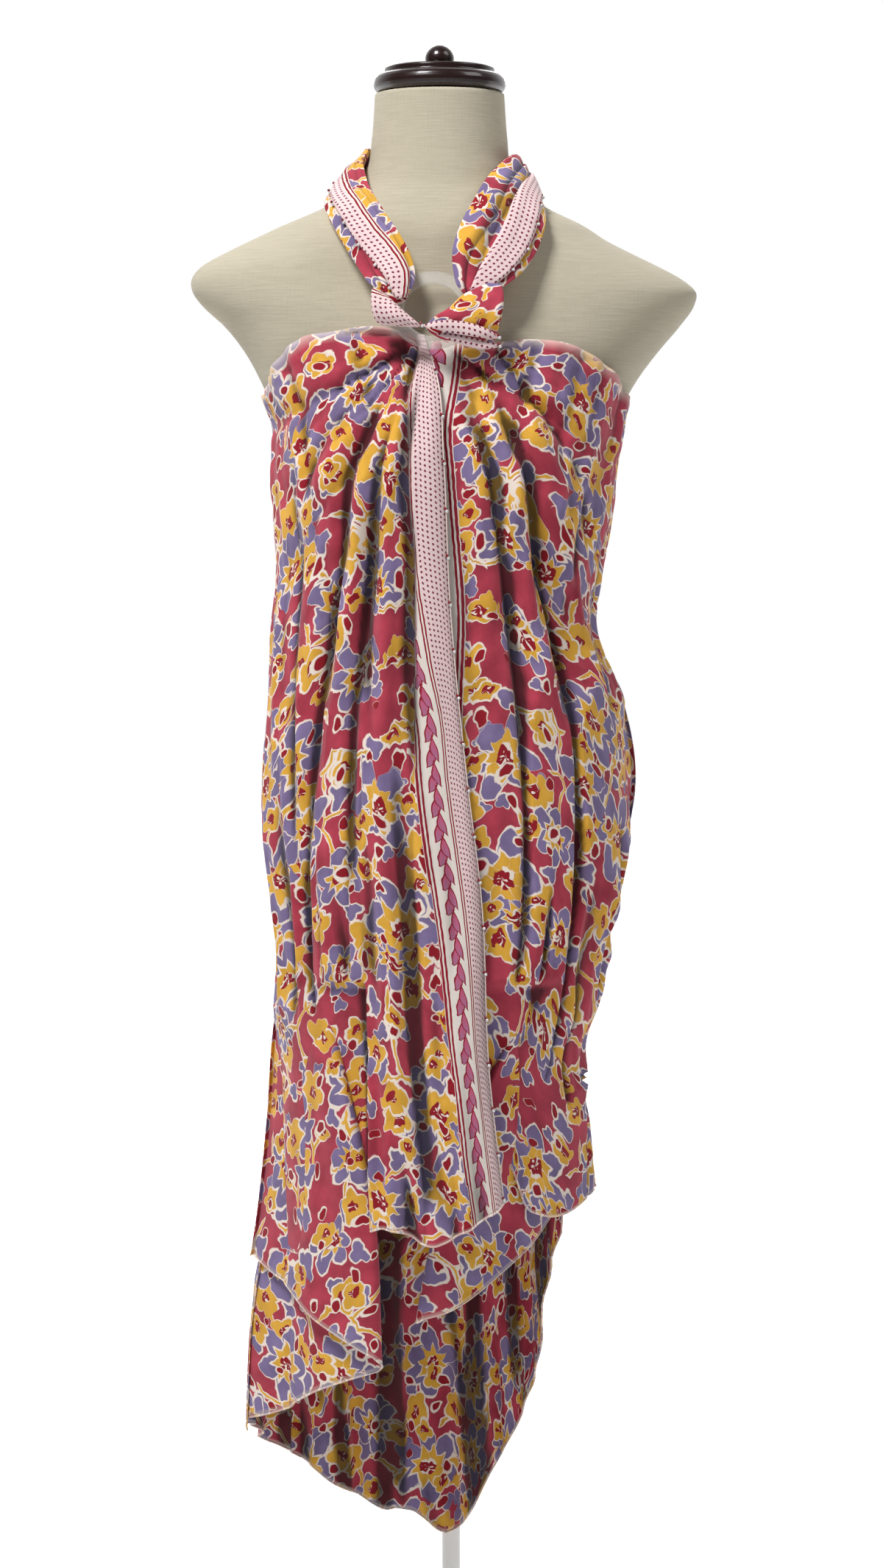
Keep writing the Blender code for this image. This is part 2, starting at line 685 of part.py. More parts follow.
def gathered(name, rows, rolls, roll_depth, cloth, collection):
    """A gathered stretch of cloth: an oval section with rolls along it, carried through the table's points.

    It rests on the form where it meets it, and its width lies square to the path and to the form's surface."""
    table = np.asarray(rows, float)
    places = np.arange(len(table))
    fine = np.linspace(0, len(table) - 1, (len(table) - 1) * STRAP_STEPS + 1)
    centre = np.stack([through(places, table[:, i], fine) for i in range(3)], axis=-1)
    width = through(places, table[:, 3], fine)
    thick = through(places, table[:, 4], fine)
    centre = lifted(centre, thick / 2 + FORM_CLEARANCE)
    ahead = np.gradient(centre, axis=0)
    ahead /= np.linalg.norm(ahead, axis=1, keepdims=True)
    away = form_slope(centre)
    away -= ahead * np.sum(away * ahead, axis=1, keepdims=True)
    away /= np.linalg.norm(away, axis=1, keepdims=True)
    sideways = np.cross(ahead, away)
    angle = np.linspace(0, 2 * math.pi, STRAP_SIDES, endpoint=False)
    end = np.minimum(fine, fine[::-1])
    closing = np.clip(STRAP_END_SIZE + (1 - STRAP_END_SIZE) * np.sqrt(np.minimum(end * 2, 1.0)), 0.0, 1.0)[:, None]
    radius = (1 + roll_depth * np.cos(rolls * angle)) * closing
    across = (width[:, None] / 2) * np.cos(angle) * radius
    out = (thick[:, None] / 2) * np.sin(angle) * radius
    rings = centre[:, None] + sideways[:, None] * across[..., None] + away[:, None] * out[..., None]
    return ring_loft(name, lifted(rings, FORM_CLEARANCE), cloth, collection)


def lobe(name, rows, cloth, collection):
    """A flattened puff of cloth: an oval section between the left and the right edge, carried down the table."""
    table = np.asarray(rows, float)
    places = np.arange(len(table))
    fine = np.linspace(0, len(table) - 1, (len(table) - 1) * STRAP_STEPS + 1)
    left_x, left_z, right_x, right_z, y, thick = (through(places, table[:, i], fine) for i in range(6))
    end = np.minimum(fine, fine[::-1])
    closing = LOBE_END_SIZE + (1 - LOBE_END_SIZE) * np.sqrt(np.minimum(end * 2, 1.0))
    angle = np.linspace(0, 2 * math.pi, STRAP_SIDES, endpoint=False)
    cosine = np.sign(np.cos(angle)) * np.abs(np.cos(angle)) ** (2 / LOBE_OVALNESS)
    sine = np.sign(np.sin(angle)) * np.abs(np.sin(angle)) ** (2 / LOBE_OVALNESS)
    share = 0.5 - 0.5 * cosine * closing[:, None]
    rings = np.stack([
        left_x[:, None] + (right_x - left_x)[:, None] * share,
        y[:, None] + (thick / 2 * closing)[:, None] * sine,
        left_z[:, None] + (right_z - left_z)[:, None] * share,
    ], axis=-1)
    return ring_loft(name, rings, cloth, collection)


def main():
    clear_scene()
    collection = bpy.data.collections.new(NAME)
    bpy.context.scene.collection.children.link(collection)
    linen = principled("Linen cover", (0.62, 0.58, 0.48), 0.85)
    wood = principled("Lacquered wood", (0.025, 0.010, 0.008), 0.22)
    white_paint = principled("White painted steel", (0.86, 0.86, 0.85), 0.35)
    clear = principled("Clear resin", (0.86, 0.84, 0.82), 0.12)
    voile = principled("Printed cotton voile", (0.52, 0.10, 0.17), 0.8)
    border = principled("Dotted cotton border", (0.80, 0.62, 0.62), 0.8)

    make_form(linen, collection)
    turned("neck_cap", CAP_PROFILE, (0, NECK_AXIS_Y, CAP_BOTTOM), wood, collection)
    turned("cap_knob", KNOB_PROFILE, (0, NECK_AXIS_Y, CAP_BOTTOM + 20.8), wood, collection, steps=20)
    make_stand(white_paint, collection)
    make_ring(clear, collection)

    panel("sarong_left_front", -1, LEFT_EDGE, LEFT_TOP, LEFT_HEM, lambda z, bearing: 0.0, LEFT_FOLDS,
          *PANEL_GRID, voile, collection)
    panel("sarong_right_front", 1, RIGHT_EDGE, RIGHT_TOP, RIGHT_HEM, under_left_panel, RIGHT_FOLDS,
          *PANEL_GRID, voile, collection)
    pleat("sarong_left_pleat", -1, LEFT_PLEAT_REACH, LEFT_PLEAT_HEM, *PLEAT_GRID, voile, collection)
    pleat("sarong_right_pleat", 1, RIGHT_PLEAT_REACH, RIGHT_PLEAT_HEM, *PLEAT_GRID, voile, collection)
    make_back(voile, collection)

    gathered("strap_left", LEFT_STRAP, 4, 0.10, voile, collection)
    gathered("strap_right", RIGHT_STRAP, 5, 0.10, voile, collection)
    gathered("neck_knot", KNOT, 3, 0.08, voile, collection)
    gathered("tie_end_left", LEFT_TIE_END, 4, 0.08, border, collection)
    gathered("tie_end_right", RIGHT_TIE_END, 4, 0.08, border, collection)
    lobe("lobe_left", LEFT_LOBE, border, collection)
    lobe("lobe_right", RIGHT_LOBE, voile, collection)


main()
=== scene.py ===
"""A printed voile sarong on a linen-covered dress form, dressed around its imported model.

Tables and lengths in the shape functions are in millimetres, and meshes are written in metres. +Z is up, the
front faces -Y and +X is the viewer's right.
"""
import math

import bmesh
import bpy
import numpy as np
from bpy.props import FloatProperty, FloatVectorProperty, IntProperty, PointerProperty
from bpy.types import Operator, Panel, PropertyGroup
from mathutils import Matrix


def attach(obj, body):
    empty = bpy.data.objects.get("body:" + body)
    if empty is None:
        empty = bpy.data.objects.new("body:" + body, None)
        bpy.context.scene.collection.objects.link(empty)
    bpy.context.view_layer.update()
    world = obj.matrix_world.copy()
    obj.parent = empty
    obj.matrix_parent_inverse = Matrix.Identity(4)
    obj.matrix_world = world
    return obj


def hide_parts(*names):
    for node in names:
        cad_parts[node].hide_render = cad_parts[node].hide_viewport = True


bl_info = {
    "name": "Sarong on dress form",
    "version": (1, 0, 0),
    "blender": (4, 5, 0),
    "location": "View3D > Sidebar > Sarong",
    "description": "Makes the cloth, the form and the studio around the packed model",
    "category": "Object",
}

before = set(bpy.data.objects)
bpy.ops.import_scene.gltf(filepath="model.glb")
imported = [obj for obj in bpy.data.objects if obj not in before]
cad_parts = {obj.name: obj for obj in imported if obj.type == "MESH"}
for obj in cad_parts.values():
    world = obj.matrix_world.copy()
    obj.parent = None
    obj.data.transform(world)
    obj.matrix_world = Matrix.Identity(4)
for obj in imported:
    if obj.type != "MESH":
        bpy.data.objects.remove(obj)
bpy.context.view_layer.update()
MM = 0.001
OVALNESS = 2.2

# Dress form: half widths to each side, and how far it comes forward and back of the axis
FORM_SECTIONS = (  # z, left, right, front, back
    (1572.5, 51.5, 51.5, 61.0, 41.0),
    (1539.0, 54.0, 54.0, 63.0, 44.0),
    (1516.0, 58.0, 57.0, 66.0, 50.0),
    (1497.0, 71.0, 67.0, 70.0, 60.0),
    (1483.0, 94.0, 87.0, 76.0, 69.0),
    (1469.0, 127.0, 116.0, 82.0, 77.0),
    (1457.5, 152.0, 134.0, 85.0, 82.0),
    (1447.5, 173.0, 154.0, 86.0, 86.0),
    (1438.0, 190.0, 174.0, 87.0, 90.0),
    (1428.0, 198.5, 193.0, 88.0, 92.0),
    (1418.0, 198.0, 205.0, 90.0, 94.0),
    (1407.0, 190.5, 204.0, 93.0, 96.0),
    (1391.0, 173.0, 193.0, 98.0, 99.0),
    (1371.0, 157.0, 176.0, 106.0, 101.0),
    (1350.0, 145.0, 160.0, 114.0, 103.0),
    (1325.0, 134.0, 146.0, 119.0, 104.0),
    (1291.0, 127.0, 138.0, 123.0, 103.0),
    (1250.0, 127.0, 133.0, 123.0, 100.0),
    (1204.0, 121.0, 124.0, 114.0, 93.0),
    (1140.0, 112.0, 112.0, 100.0, 84.0),
    (1080.0, 109.0, 109.0, 92.0, 80.0),
    (1020.0, 113.0, 112.0, 91.0, 84.0),
    (960.0, 117.0, 116.0, 94.0, 94.0),
    (905.0, 115.0, 114.0, 95.0, 98.0),
    (880.0, 111.0, 110.0, 91.0, 94.0),
    (870.0, 103.0, 102.0, 84.0, 87.0),
)

# Wrap: the outermost line of the cloth at each height
WRAP_SECTIONS = (  # z, left, right, front, back
    (1392.0, 184.0, 202.0, 112.0, 106.0),
    (1371.0, 164.0, 183.0, 119.0, 107.0),
    (1350.0, 148.0, 165.0, 127.0, 108.0),
    (1330.0, 138.0, 153.0, 132.0, 109.0),
    (1291.0, 131.0, 144.0, 138.0, 108.0),
    (1250.0, 132.0, 138.0, 139.0, 106.0),
    (1204.0, 131.0, 131.0, 137.0, 103.0),
    (1148.0, 136.0, 125.0, 135.0, 102.0),
    (1094.0, 139.0, 148.0, 135.0, 103.0),
    (1023.0, 143.0, 160.0, 137.0, 108.0),
    (985.0, 143.0, 155.0, 138.0, 113.0),
    (939.0, 138.0, 146.0, 139.0, 118.0),
    (879.0, 132.0, 130.0, 140.0, 122.0),
    (838.0, 135.0, 122.0, 141.0, 124.0),
    (814.0, 138.0, 113.0, 142.0, 125.0),
    (745.0, 143.0, 122.0, 143.0, 127.0),
    (670.0, 151.0, 128.0, 143.0, 129.0),
    (570.0, 166.0, 135.0, 140.0, 131.0),
    (489.0, 170.0, 140.0, 136.0, 131.0),
    (355.0, 174.0, 144.0, 132.0, 129.0),
)
MEAN_RADIUS = 140.0

# How close the cloth's folds may come to the form, and below the form's foot, where there is more room
FORM_ROOM = 2.0
FREE_ROOM = 14.0
FREE_TOP = 890.0
FREE_RISE = 110.0
PLY_ROOM = 5.6
SOFTNESS = 1.3

# The bust: middle of each side, spread and height
BUST_X = 72.0
BUST_Z = 1272.0
BUST_SPREAD = 52.0
BUST_RISE = 9.0

# Upper and lower edges of the cloth, by distance from the middle towards the viewer's right
LEFT_TOP = (  # x, z
    (-140.0, 1334.0),
    (-127.0, 1361.0),
    (-111.0, 1376.0),
    (-85.0, 1382.0),
    (-54.0, 1386.0),
    (-10.0, 1379.0),
)
RIGHT_TOP = (
    (-25.0, 1374.0),
    (13.0, 1375.0),
    (44.0, 1374.0),
    (79.0, 1376.0),
    (108.0, 1370.0),
    (126.0, 1360.0),
    (143.0, 1344.0),
    (152.0, 1328.0),
)
LEFT_HEM = (
    (-150.0, 644.0),
    (-141.0, 645.0),
    (-97.0, 664.0),
    (-58.0, 681.0),
    (-45.0, 687.0),
    (-33.0, 686.0),
    (-9.0, 673.0),
    (23.0, 687.0),
    (52.0, 705.0),
)
RIGHT_HEM = (
    (-50.0, 742.0),
    (45.0, 731.0),
    (62.0, 731.0),
    (73.0, 724.0),
    (84.0, 694.0),
    (94.0, 686.0),
    (115.0, 683.0),
    (125.0, 690.0),
)
BACK_HEM = (
    (-163.0, 487.0),
    (-151.0, 459.0),
    (-140.0, 446.0),
    (-115.0, 423.0),
    (-91.0, 398.0),
    (-78.0, 391.0),
    (-52.0, 375.0),
    (-27.0, 371.0),
    (-14.0, 363.0),
    (-1.0, 352.0),
    (8.0, 349.0),
    (14.0, 351.0),
    (25.0, 366.0),
    (50.0, 417.0),
    (76.0, 478.0),
    (88.0, 524.0),
    (95.0, 575.0),
    (103.0, 640.0),
    (118.0, 692.0),
)
BACK_TOP_SIDES = (1334.0, 1328.0)
BACK_TOP_MIDDLE = 1318.0

# Front edges of the two panels
LEFT_EDGE = (  # z, x
    (700.0, 52.0),
    (816.0, 39.0),
    (942.0, 33.0),
    (1040.0, 21.0),
    (1174.0, 8.0),
    (1284.0, 3.0),
    (1347.0, -2.0),
    (1379.0, -12.0),
)
RIGHT_EDGE = (
    (700.0, -50.0),
    (1095.0, -50.0),
    (1200.0, -45.0),
    (1300.0, -24.0),
    (1379.0, -5.0),
)

# How the printed border lies on the left panel: how much of its width shows, and the print's own
# distance from the cloth's edge where it goes into the fold beside it
BORDER_SHOWS = (  # z, width that shows, distance from the edge where it ends
    (690.0, 36.0, 67.0),
    (850.0, 37.0, 67.0),
    (960.0, 42.0, 67.0),
    (1040.0, 41.0, 67.0),
    (1085.0, 38.0, 64.0),
    (1120.0, 35.0, 52.0),
    (1160.0, 31.0, 42.0),
    (1200.0, 29.0, 35.0),
    (1290.0, 30.0, 34.0),
    (1340.0, 25.0, 33.0),
    (1372.0, 8.0, 33.0),
)
# Where the inner double line of the right panel's border lies: it is 65 mm from that panel's edge
RIGHT_LINE = (  # z, x
    (700.0, 15.0),
    (1095.0, 15.0),
    (1174.0, 17.0),
    (1227.0, 13.0),
    (1278.0, 9.0),
    (1307.0, 7.0),
    (1348.0, 13.0),
    (1379.0, 16.0),
)
RIGHT_LINE_PRINT = 65.0

# Folds: where each lies at five heights, and how deep it is there. A negative depth is a ridge.
FOLD_HEIGHTS = (680.0, 1050.0, 1200.0, 1290.0, 1365.0)
LEFT_FOLDS = (  # name, half width, x at each height, depth at each height
    ("from_ring_to_underarm", 9.0, (-120, -116, -108, -92, -33), (0, 0, 1, 4, 6)),
    ("below_ridge_one", 11.0, (-124, -118, -114, -106, -60), (1, 2, 4, 2, 1)),
    ("long_trough", 9.0, (-98, -103, -79, -62, -27), (5, 8, 8, 7, 5)),
    ("beside_long_trough", 9.0, (-76, -84, -65, -50, -22), (-4, -3, -3, -3, -3)),
    ("middle_trough", 8.0, (-62, -70, -54, -42, -18), (5, 6, 7, 6, 3)),
    ("middle_ridge", 9.0, (-33, -45, -38, -33, -14), (-5, -4, -4, -3, -2)),
    ("beside_border", 7.0, (-12, -22, -24, -28, -10), (4, 4, 5, 6, 2)),
    ("border_ridge", 12.0, (22, -4, -10, -12, -6), (-3, -2, -2, -3, 0)),
)
RIGHT_FOLDS = (
    ("inner_trough", 8.0, (46, 68, 50, 38, 14), (3, 6, 6, 6, 3)),
    ("inner_ridge", 9.0, (60, 88, 66, 50, 20), (3, -4, -4, -4, -2)),
    ("long_trough", 9.0, (76, 112, 80, 58, 27), (6, 6, 8, 7, 4)),
    ("long_ridge", 10.0, (98, 134, 98, 76, 36), (-6, -4, -3, -3, -3)),
    ("from_ring_to_shoulder", 8.0, (118, 142, 118, 98, 44), (0, 0, 1, 3, 5)),
)
BACK_FOLDS = (
    ("left_side", 12.0, (-128, -112, -104, -100, -96), (7, 4, 2, 1, 0)),
    ("left_middle", 13.0, (-88, -72, -60, -50, -40), (-6, -4, -3, -2, 0)),
    ("left_inner", 12.0, (-48, -38, -30, -22, -14), (8, 5, 3, 2, 0)),
    ("middle", 13.0, (-6, -2, 0, 0, 0), (-7, -5, -3, -2, 0)),
    ("right_inner", 12.0, (34, 30, 26, 22, 14), (8, 5, 3, 2, 0)),
    ("right_middle", 13.0, (68, 64, 58, 52, 44), (-6, -4, -3, -1, 0)),
    ("right_side", 12.0, (102, 104, 100, 96, 92), (6, 4, 2, 1, 0)),
)

# How many times deeper the fronts' folds are than their tables say, and the powers of the sections
FOLD_STRENGTH = 1.6
TROUGH_POWER = 1.25
RIDGE_POWER = 2.0
# Gathers fanned out from where the corners pass the ring: turns per radian, phase, height. They rise over
# the first length from the foot and fade over the second, and the mean is that of the root of a sine's size.
GATHER_FOOT = (-8.0, 1378.0)
GATHER_RISE = 34.0
GATHER_REACH = 200.0
MEAN_ROOT_SINE = 0.76
GATHERS = (
    (6.3, 0.4, 6.4),
    (10.7, 1.9, 4.2),
    (17.9, 0.8, 2.1),
    (29.0, 2.6, 0.6),
)
# Small folds that run down the cloth: spacing across, drift with height, phase, height
DOWN_CREASES = (
    (21.0, 0.0021, 0.3, 1.2),
    (33.0, -0.0016, 2.1, 1.9),
    (13.0, 0.0042, 4.0, 0.5),
    (52.0, 0.0011, 1.2, 2.4),
)
# How far and how slowly the creases sway, the power that flattens them, and the random crumples
CREASE_SWAY = 1.3
CREASE_SWAY_HEIGHT = 87.0
CREASE_FLATNESS = 0.8
CRUMPLE_WAVES = 16
CRUMPLE_SPACINGS = (9.0, 38.0)
CRUMPLE_HEIGHT = 0.5

# Creases of the front panels: strength high up, how much is added lower down, and where
CREASES_HIGH = 0.45
CREASES_MORE = 0.75
CREASES_TOP = 1150.0
CREASES_RISE = 300.0
RIGHT_CREASE_SHIFT = 40.0

# Edges of the front panels: where creases are calm, how ridges go on there, and how the edge curls back
EDGE_CALM = 34.0
SEAM_CALM = 14.0
EDGE_RIDGES = 0.35
CURL_DEPTH = 3.0
CURL_WIDTH = 9.0
# The groove in which the border goes into the fold beside it
BORDER_WIDTH = 67.0
GROOVE_DEPTH = 5.0
GROOVE_WIDTH = 3.5
FULL_TUCK = 30.0
FIELD_START = 69.0
# How the right panel lies inside the left one, and comes out beyond its edge, in radians
PANEL_PLY = 7.5
OVERLAP_START = 0.03
OVERLAP_SPAN = 0.22

# Hollows, darkened in the cloth's colour as painted shade: columns to each side for the mean, depth of a full
# hollow, and power
HOLLOW_REACH = 9
HOLLOW_DEPTH = 2.4
HOLLOW_POWER = 1.4
# How pale the first three rows of a sheet are
UPPER_EDGE_PALENESS = (0.9, 0.6, 0.25)

# The edges' heights are found from these first guesses in a few steps
TOP_GUESS = 1370.0
HEM_GUESS = 690.0
BACK_HEM_GUESS = 500.0
SETTLING_STEPS = 14

# The two plies turned in at each side. Bearings in degrees from the front, towards the viewer's right.
PLEAT_TOP = 1135.0
LEFT_PLEAT_REACH = (  # z, bearing of the inner fold, inset of the outer ply, inset of the inner ply
    (500.0, -17.0, 30.0, 42.0),
    (700.0, -26.0, 24.0, 34.0),
    (870.0, -48.0, 11.0, 17.0),
    (1135.0, -76.0, 6.0, 11.0),
)
RIGHT_PLEAT_REACH = (
    (500.0, -8.0, 32.0, 44.0),
    (700.0, 4.0, 26.0, 36.0),
    (870.0, 42.0, 12.5, 18.5),
    (1135.0, 76.0, 6.0, 11.0),
)
# Insets of both plies and the panel at the side edge, columns round each turn, how far behind the seam the
# plies end and how far they bulge past it, and ripples down the plies
PLY_START = 4.2
PLY_INSET = 8.8
PANEL_INSET = 0.7
TURN_COLUMNS = 15
SEAM_BACK = 2.0
SEAM_BULGE = 2.2
RIPPLE_HEIGHT = 0.9
RIPPLE_TURNS = 17.0
RIPPLE_DRIFT = 60.0
RIPPLE_TOP = 900.0
RIPPLE_RISE = 200.0
LEFT_PLEAT_HEM = (  # share of the way along both plies, z
    (0.0, 630.0),
    (0.25, 603.0),
    (0.5, 566.0),
    (0.75, 532.0),
    (1.0, 492.0),
)
RIGHT_PLEAT_HEM = (
    (0.0, 700.0),
    (0.25, 655.0),
    (0.5, 602.0),
    (0.75, 650.0),
    (1.0, 705.0),
)

# Gathered stretches: x, y, z of the middle, width across, thickness
LEFT_STRAP = (
    (-20, 74, 1508, 22, 13),
    (-42, 62, 1515, 26, 11),
    (-57, 33, 1520, 25, 8),
    (-62, 2, 1518, 27, 8),
    (-71, -29, 1505, 33, 11),
    (-72, -61, 1487, 38, 12),
    (-60, -86, 1464, 40, 12),
    (-45, -101, 1441, 40, 12),
    (-36, -113, 1424, 36, 11),
    (-33, -118, 1411, 24, 9),
    (-30, -121, 1403, 12, 7),
)
RIGHT_STRAP = (
    (20, 74, 1508, 22, 13),
    (42, 62, 1511, 26, 11),
    (59, 33, 1515, 25, 9),
    (65, 1, 1512, 29, 10),
    (66, -36, 1504, 42, 13),
    (58, -66, 1488, 52, 14),
    (51, -86, 1468, 60, 15),
    (43, -98, 1450, 60, 15),
    (34, -110, 1433, 52, 13),
    (27, -117, 1418, 34, 10),
    (23, -120, 1408, 16, 8),
)
KNOT = (
    (-15, 77, 1507, 20, 14),
    (-8, 79, 1506, 31, 22),
    (0, 80, 1505, 34, 25),
    (8, 79, 1506, 31, 22),
    (15, 77, 1507, 20, 14),
)
LEFT_TIE_END = (
    (-7, 86, 1485, 13, 7),
    (-12, 94, 1470, 24, 5),
    (-18, 99, 1450, 34, 4),
    (-24, 104, 1428, 42, 3),
)
RIGHT_TIE_END = (
    (8, 86, 1485, 13, 7),
    (15, 94, 1468, 26, 5),
    (23, 100, 1444, 36, 4),
    (29, 105, 1418, 44, 3),
)

# Puffs above the ring's foot: x and z of the left edge, x and z of the right edge, y, thickness
LEFT_LOBE = (
    (-51, 1415, -40, 1409, -126, 5),
    (-52, 1410, -33, 1402, -129, 9),
    (-52, 1403, -24, 1394, -132, 12),
    (-51, 1395, -17, 1388, -133, 12),
    (-48, 1386, -13, 1384, -132, 8),
)
RIGHT_LOBE = (
    (36, 1418, 48, 1417, -127, 5),
    (18, 1409, 49, 1407, -130, 11),
    (7, 1399, 48, 1397, -133, 15),
    (-4, 1392, 46, 1387, -134, 15),
    (-10, 1384, 43, 1378, -133, 11),
    (-1, 1375, 41, 1371, -132, 7),
)
# Valleys along the straps: share of the front from left to right, and depth as a share of the section. Then
# a valley's half width as an angle, ripples' twist, steps from row to row, and points round a section.
LEFT_GROOVES = ((0.16, 0.16), (0.36, 0.14), (0.90, 0.10))
RIGHT_GROOVES = ((0.25, 0.26), (0.46, 0.2), (0.93, 0.14))
GROOVE_ANGLE = 0.13
STRAP_TWIST = 0.6
STRAP_STEPS = 20
SECTION_POINTS = 96

# Printed edges along the straps: the front's shares at which each side starts and ends, and the rows between
# which they run
LEFT_BAND = (((0.12, 0.38), (0.58, 0.98)), (3.2, 9.8))
RIGHT_BAND = (((0.92, 0.90), (0.52, 0.46)), (3.0, 9.8))
# How far they are lifted, their columns, and how deep the strap's valleys are in them
BAND_LIFT = 1.6
BAND_COLUMNS = 40
BAND_GROOVES = 0.35

# Two turned-out edges of cloth at the foot of the right puff: x, y and z of the middle, height, thickness
UPPER_LIP = (
    (-12, -139.5, 1385.0, 1.6, 1.2),
    (-4, -142.0, 1385.4, 5.6, 2.6),
    (6, -143.5, 1384.4, 9.0, 3.4),
    (20, -144.0, 1382.6, 10.2, 3.6),
    (33, -143.0, 1379.8, 8.2, 3.2),
    (41, -141.0, 1377.4, 4.6, 2.2),
    (45, -139.0, 1376.2, 1.6, 1.2),
)
LOWER_LIP = (
    (-2, -138.0, 1379.0, 1.4, 1.2),
    (8, -139.5, 1376.8, 5.0, 2.4),
    (20, -140.5, 1373.4, 7.6, 3.0),
    (32, -140.0, 1370.9, 7.2, 2.8),
    (41, -138.5, 1370.2, 4.2, 2.0),
    (45, -137.0, 1370.2, 1.4, 1.2),
)

# Ends of the gathered stretches and of the puffs as shares of the full section, the puffs' section power, and
# the least gap to the form
STRAP_END_SIZE = 0.49
LOBE_END_SIZE = 0.8
LOBE_OVALNESS = 2.6
FORM_CLEARANCE = 1.2
# Waves across the puffs: count, drift down the table, phase and height
LEFT_RIPPLES = ((9.0, 0.9, 0.0, 0.10), (17.0, -0.6, 2.0, 0.05))
RIGHT_RIPPLES = ((8.0, -1.1, 1.0, 0.14), (19.0, 0.7, 0.4, 0.05))

# The print, in millimetres: dye, spacing of the flowers, seed, petals, and each petal's middle distance,
# half length and half width. The star and the lavender petals share their spacing and seed.
BLOOMS = (
    ("blob", "petal", 34.0, 1.0, 3, 3.5, 5.7, 4.5),
    ("yellow", "flower", 60.0, 3.0, 5, 7.2, 7.4, 6.2),
    ("lavender", "petal", 76.0, 2.0, 6, 18.5, 12.0, 8.6),
    ("star", "flower", 76.0, 2.0, 8, 9.0, 8.2, 4.2),
    ("small_yellow", "flower", 53.0, 4.0, 4, 5.6, 6.0, 5.2),
    ("bud", "heart", 36.0, 5.0, 1, 0.1, 5.0, 3.3),
)
HEARTS = {  # radius, shift from the flower's middle, how strong the noise is where a pale seed starts
    "star": (7.4, (0.0, 0.0, 0.0), 0.58),
    "yellow": (4.8, (1.4, -0.9, 0.0), 0.67),
    "small_yellow": (4.2, (-1.2, 1.4, 0.0), 0.71),
}
# How ragged a heart's edge is, and how many pale seeds lie round it and in a millimetre outwards
HEART_RAGGED = 6.0
SEEDS_ROUND = 10.0
SEEDS_OUTWARDS = 0.22
# Two noises that make the motifs wander: name, spacing and reach
WANDERS = (
    ("wander_wide", 27.0, 11.0),
    ("wander_fine", 6.0, 2.7),
)
# The undyed rim's width: the wide noise times the first, and the second added
RIM_SPREAD = 3.6
RIM_LESS = -0.6
# How far each dye is paler and darker by turns
DYE_SPREADS = (
    ("ground", 0.5),
    ("petal", 0.36),
    ("flower", 0.28),
)
# How much darker a full hollow is drawn, as painted shade, and how much paler a hem
HOLLOW_SHADE = -0.82
HEM_PALENESS = 0.55
# How loosely flowers lie, and how their size and each petal's reach vary: the least and what is added
BLOOM_SCATTER = 0.72
BLOOM_SIZES = (0.72, 0.5)
PETAL_REACHES = (0.8, 0.36)
DYE_SOFTNESS = 0.25
STEM_SPACING = 40.0
DOT_PITCH = 4.2
LEAF_PITCH = 19.5
LEAF_MIDDLE = 48.3

# Cap and knob: radius and height above the cap's underside, from the top down
NECK_AXIS_Y = -10.0
CAP_BOTTOM = 1573.0
KNOB_BOTTOM = CAP_BOTTOM + 20.8
CAP_PROFILE = (
    (0.0, 20.5),
    (40.0, 20.5),
    (42.6, 20.2),
    (43.8, 19.2),
    (44.0, 18.0),
    (44.0, 15.9),
    (44.6, 15.2),
    (47.4, 14.9),
    (50.0, 13.4),
    (51.6, 11.2),
    (52.4, 8.6),
    (52.5, 6.4),
    (51.7, 3.6),
    (50.0, 1.4),
    (47.6, 0.2),
    (45.0, 0.0),
    (0.0, 0.0),
)
KNOB_PROFILE = (
    (0.0, 17.4),
    (2.6, 17.1),
    (4.9, 16.3),
    (7.0, 15.0),
    (8.8, 13.3),
    (10.2, 11.3),
    (11.2, 9.0),
    (11.6, 6.6),
    (11.2, 4.3),
    (10.0, 2.4),
    (8.4, 1.2),
    (7.7, 0.7),
    (8.4, 0.2),
    (8.6, 0.0),
    (0.0, 0.0),
)

HEM_RADIUS = 0.9
EDGE_RADIUS = 0.7
EDGE_SIDES = 8

# Beads where the turned-out edges of the right puff end
LOOSE_BEADS = ((45.5, -141.5, 1376.0), (-13.0, -141.5, 1385.0), (46.0, -139.0, 1369.5))
DROP_OFFSET = (-1.1, -0.2, 1.9)
DROP_SIZE = 0.85

RING_OUTER = 33.0
RING_INNER = 22.0
RING_DEPTH = 4.0
RING_ROUNDNESS = 0.55
RING_CENTRE = (-5.0, -113.5, 1398.0)
RING_LEAN = math.radians(24.0)

FLOOR_HALF = 9000.0

# The photograph's camera
CAMERA_PLACE = (0.0015, -2.5, 1.2797)
CAMERA_TILT = math.radians(90.0 - 5.9)
CAMERA_LENS = 70.78


def linear(hexes):
    """An sRGB hex colour as linear red, green and blue."""
    parts = [int(hexes[i:i + 2], 16) / 255 for i in (1, 3, 5)]
    return tuple(part / 12.92 if part <= 0.04045 else ((part + 0.055) / 1.055) ** 2.4 for part in parts)


# Cloth shapes


def powered(wave, power):
    """The size of a wave raised to the power, with the wave's own sign."""
    return np.sign(wave) * np.abs(wave) ** power


def once_round(count):
    """Even steps once round, as one row of angles."""
    return np.linspace(0, 2 * math.pi, count, endpoint=False)[None, :]


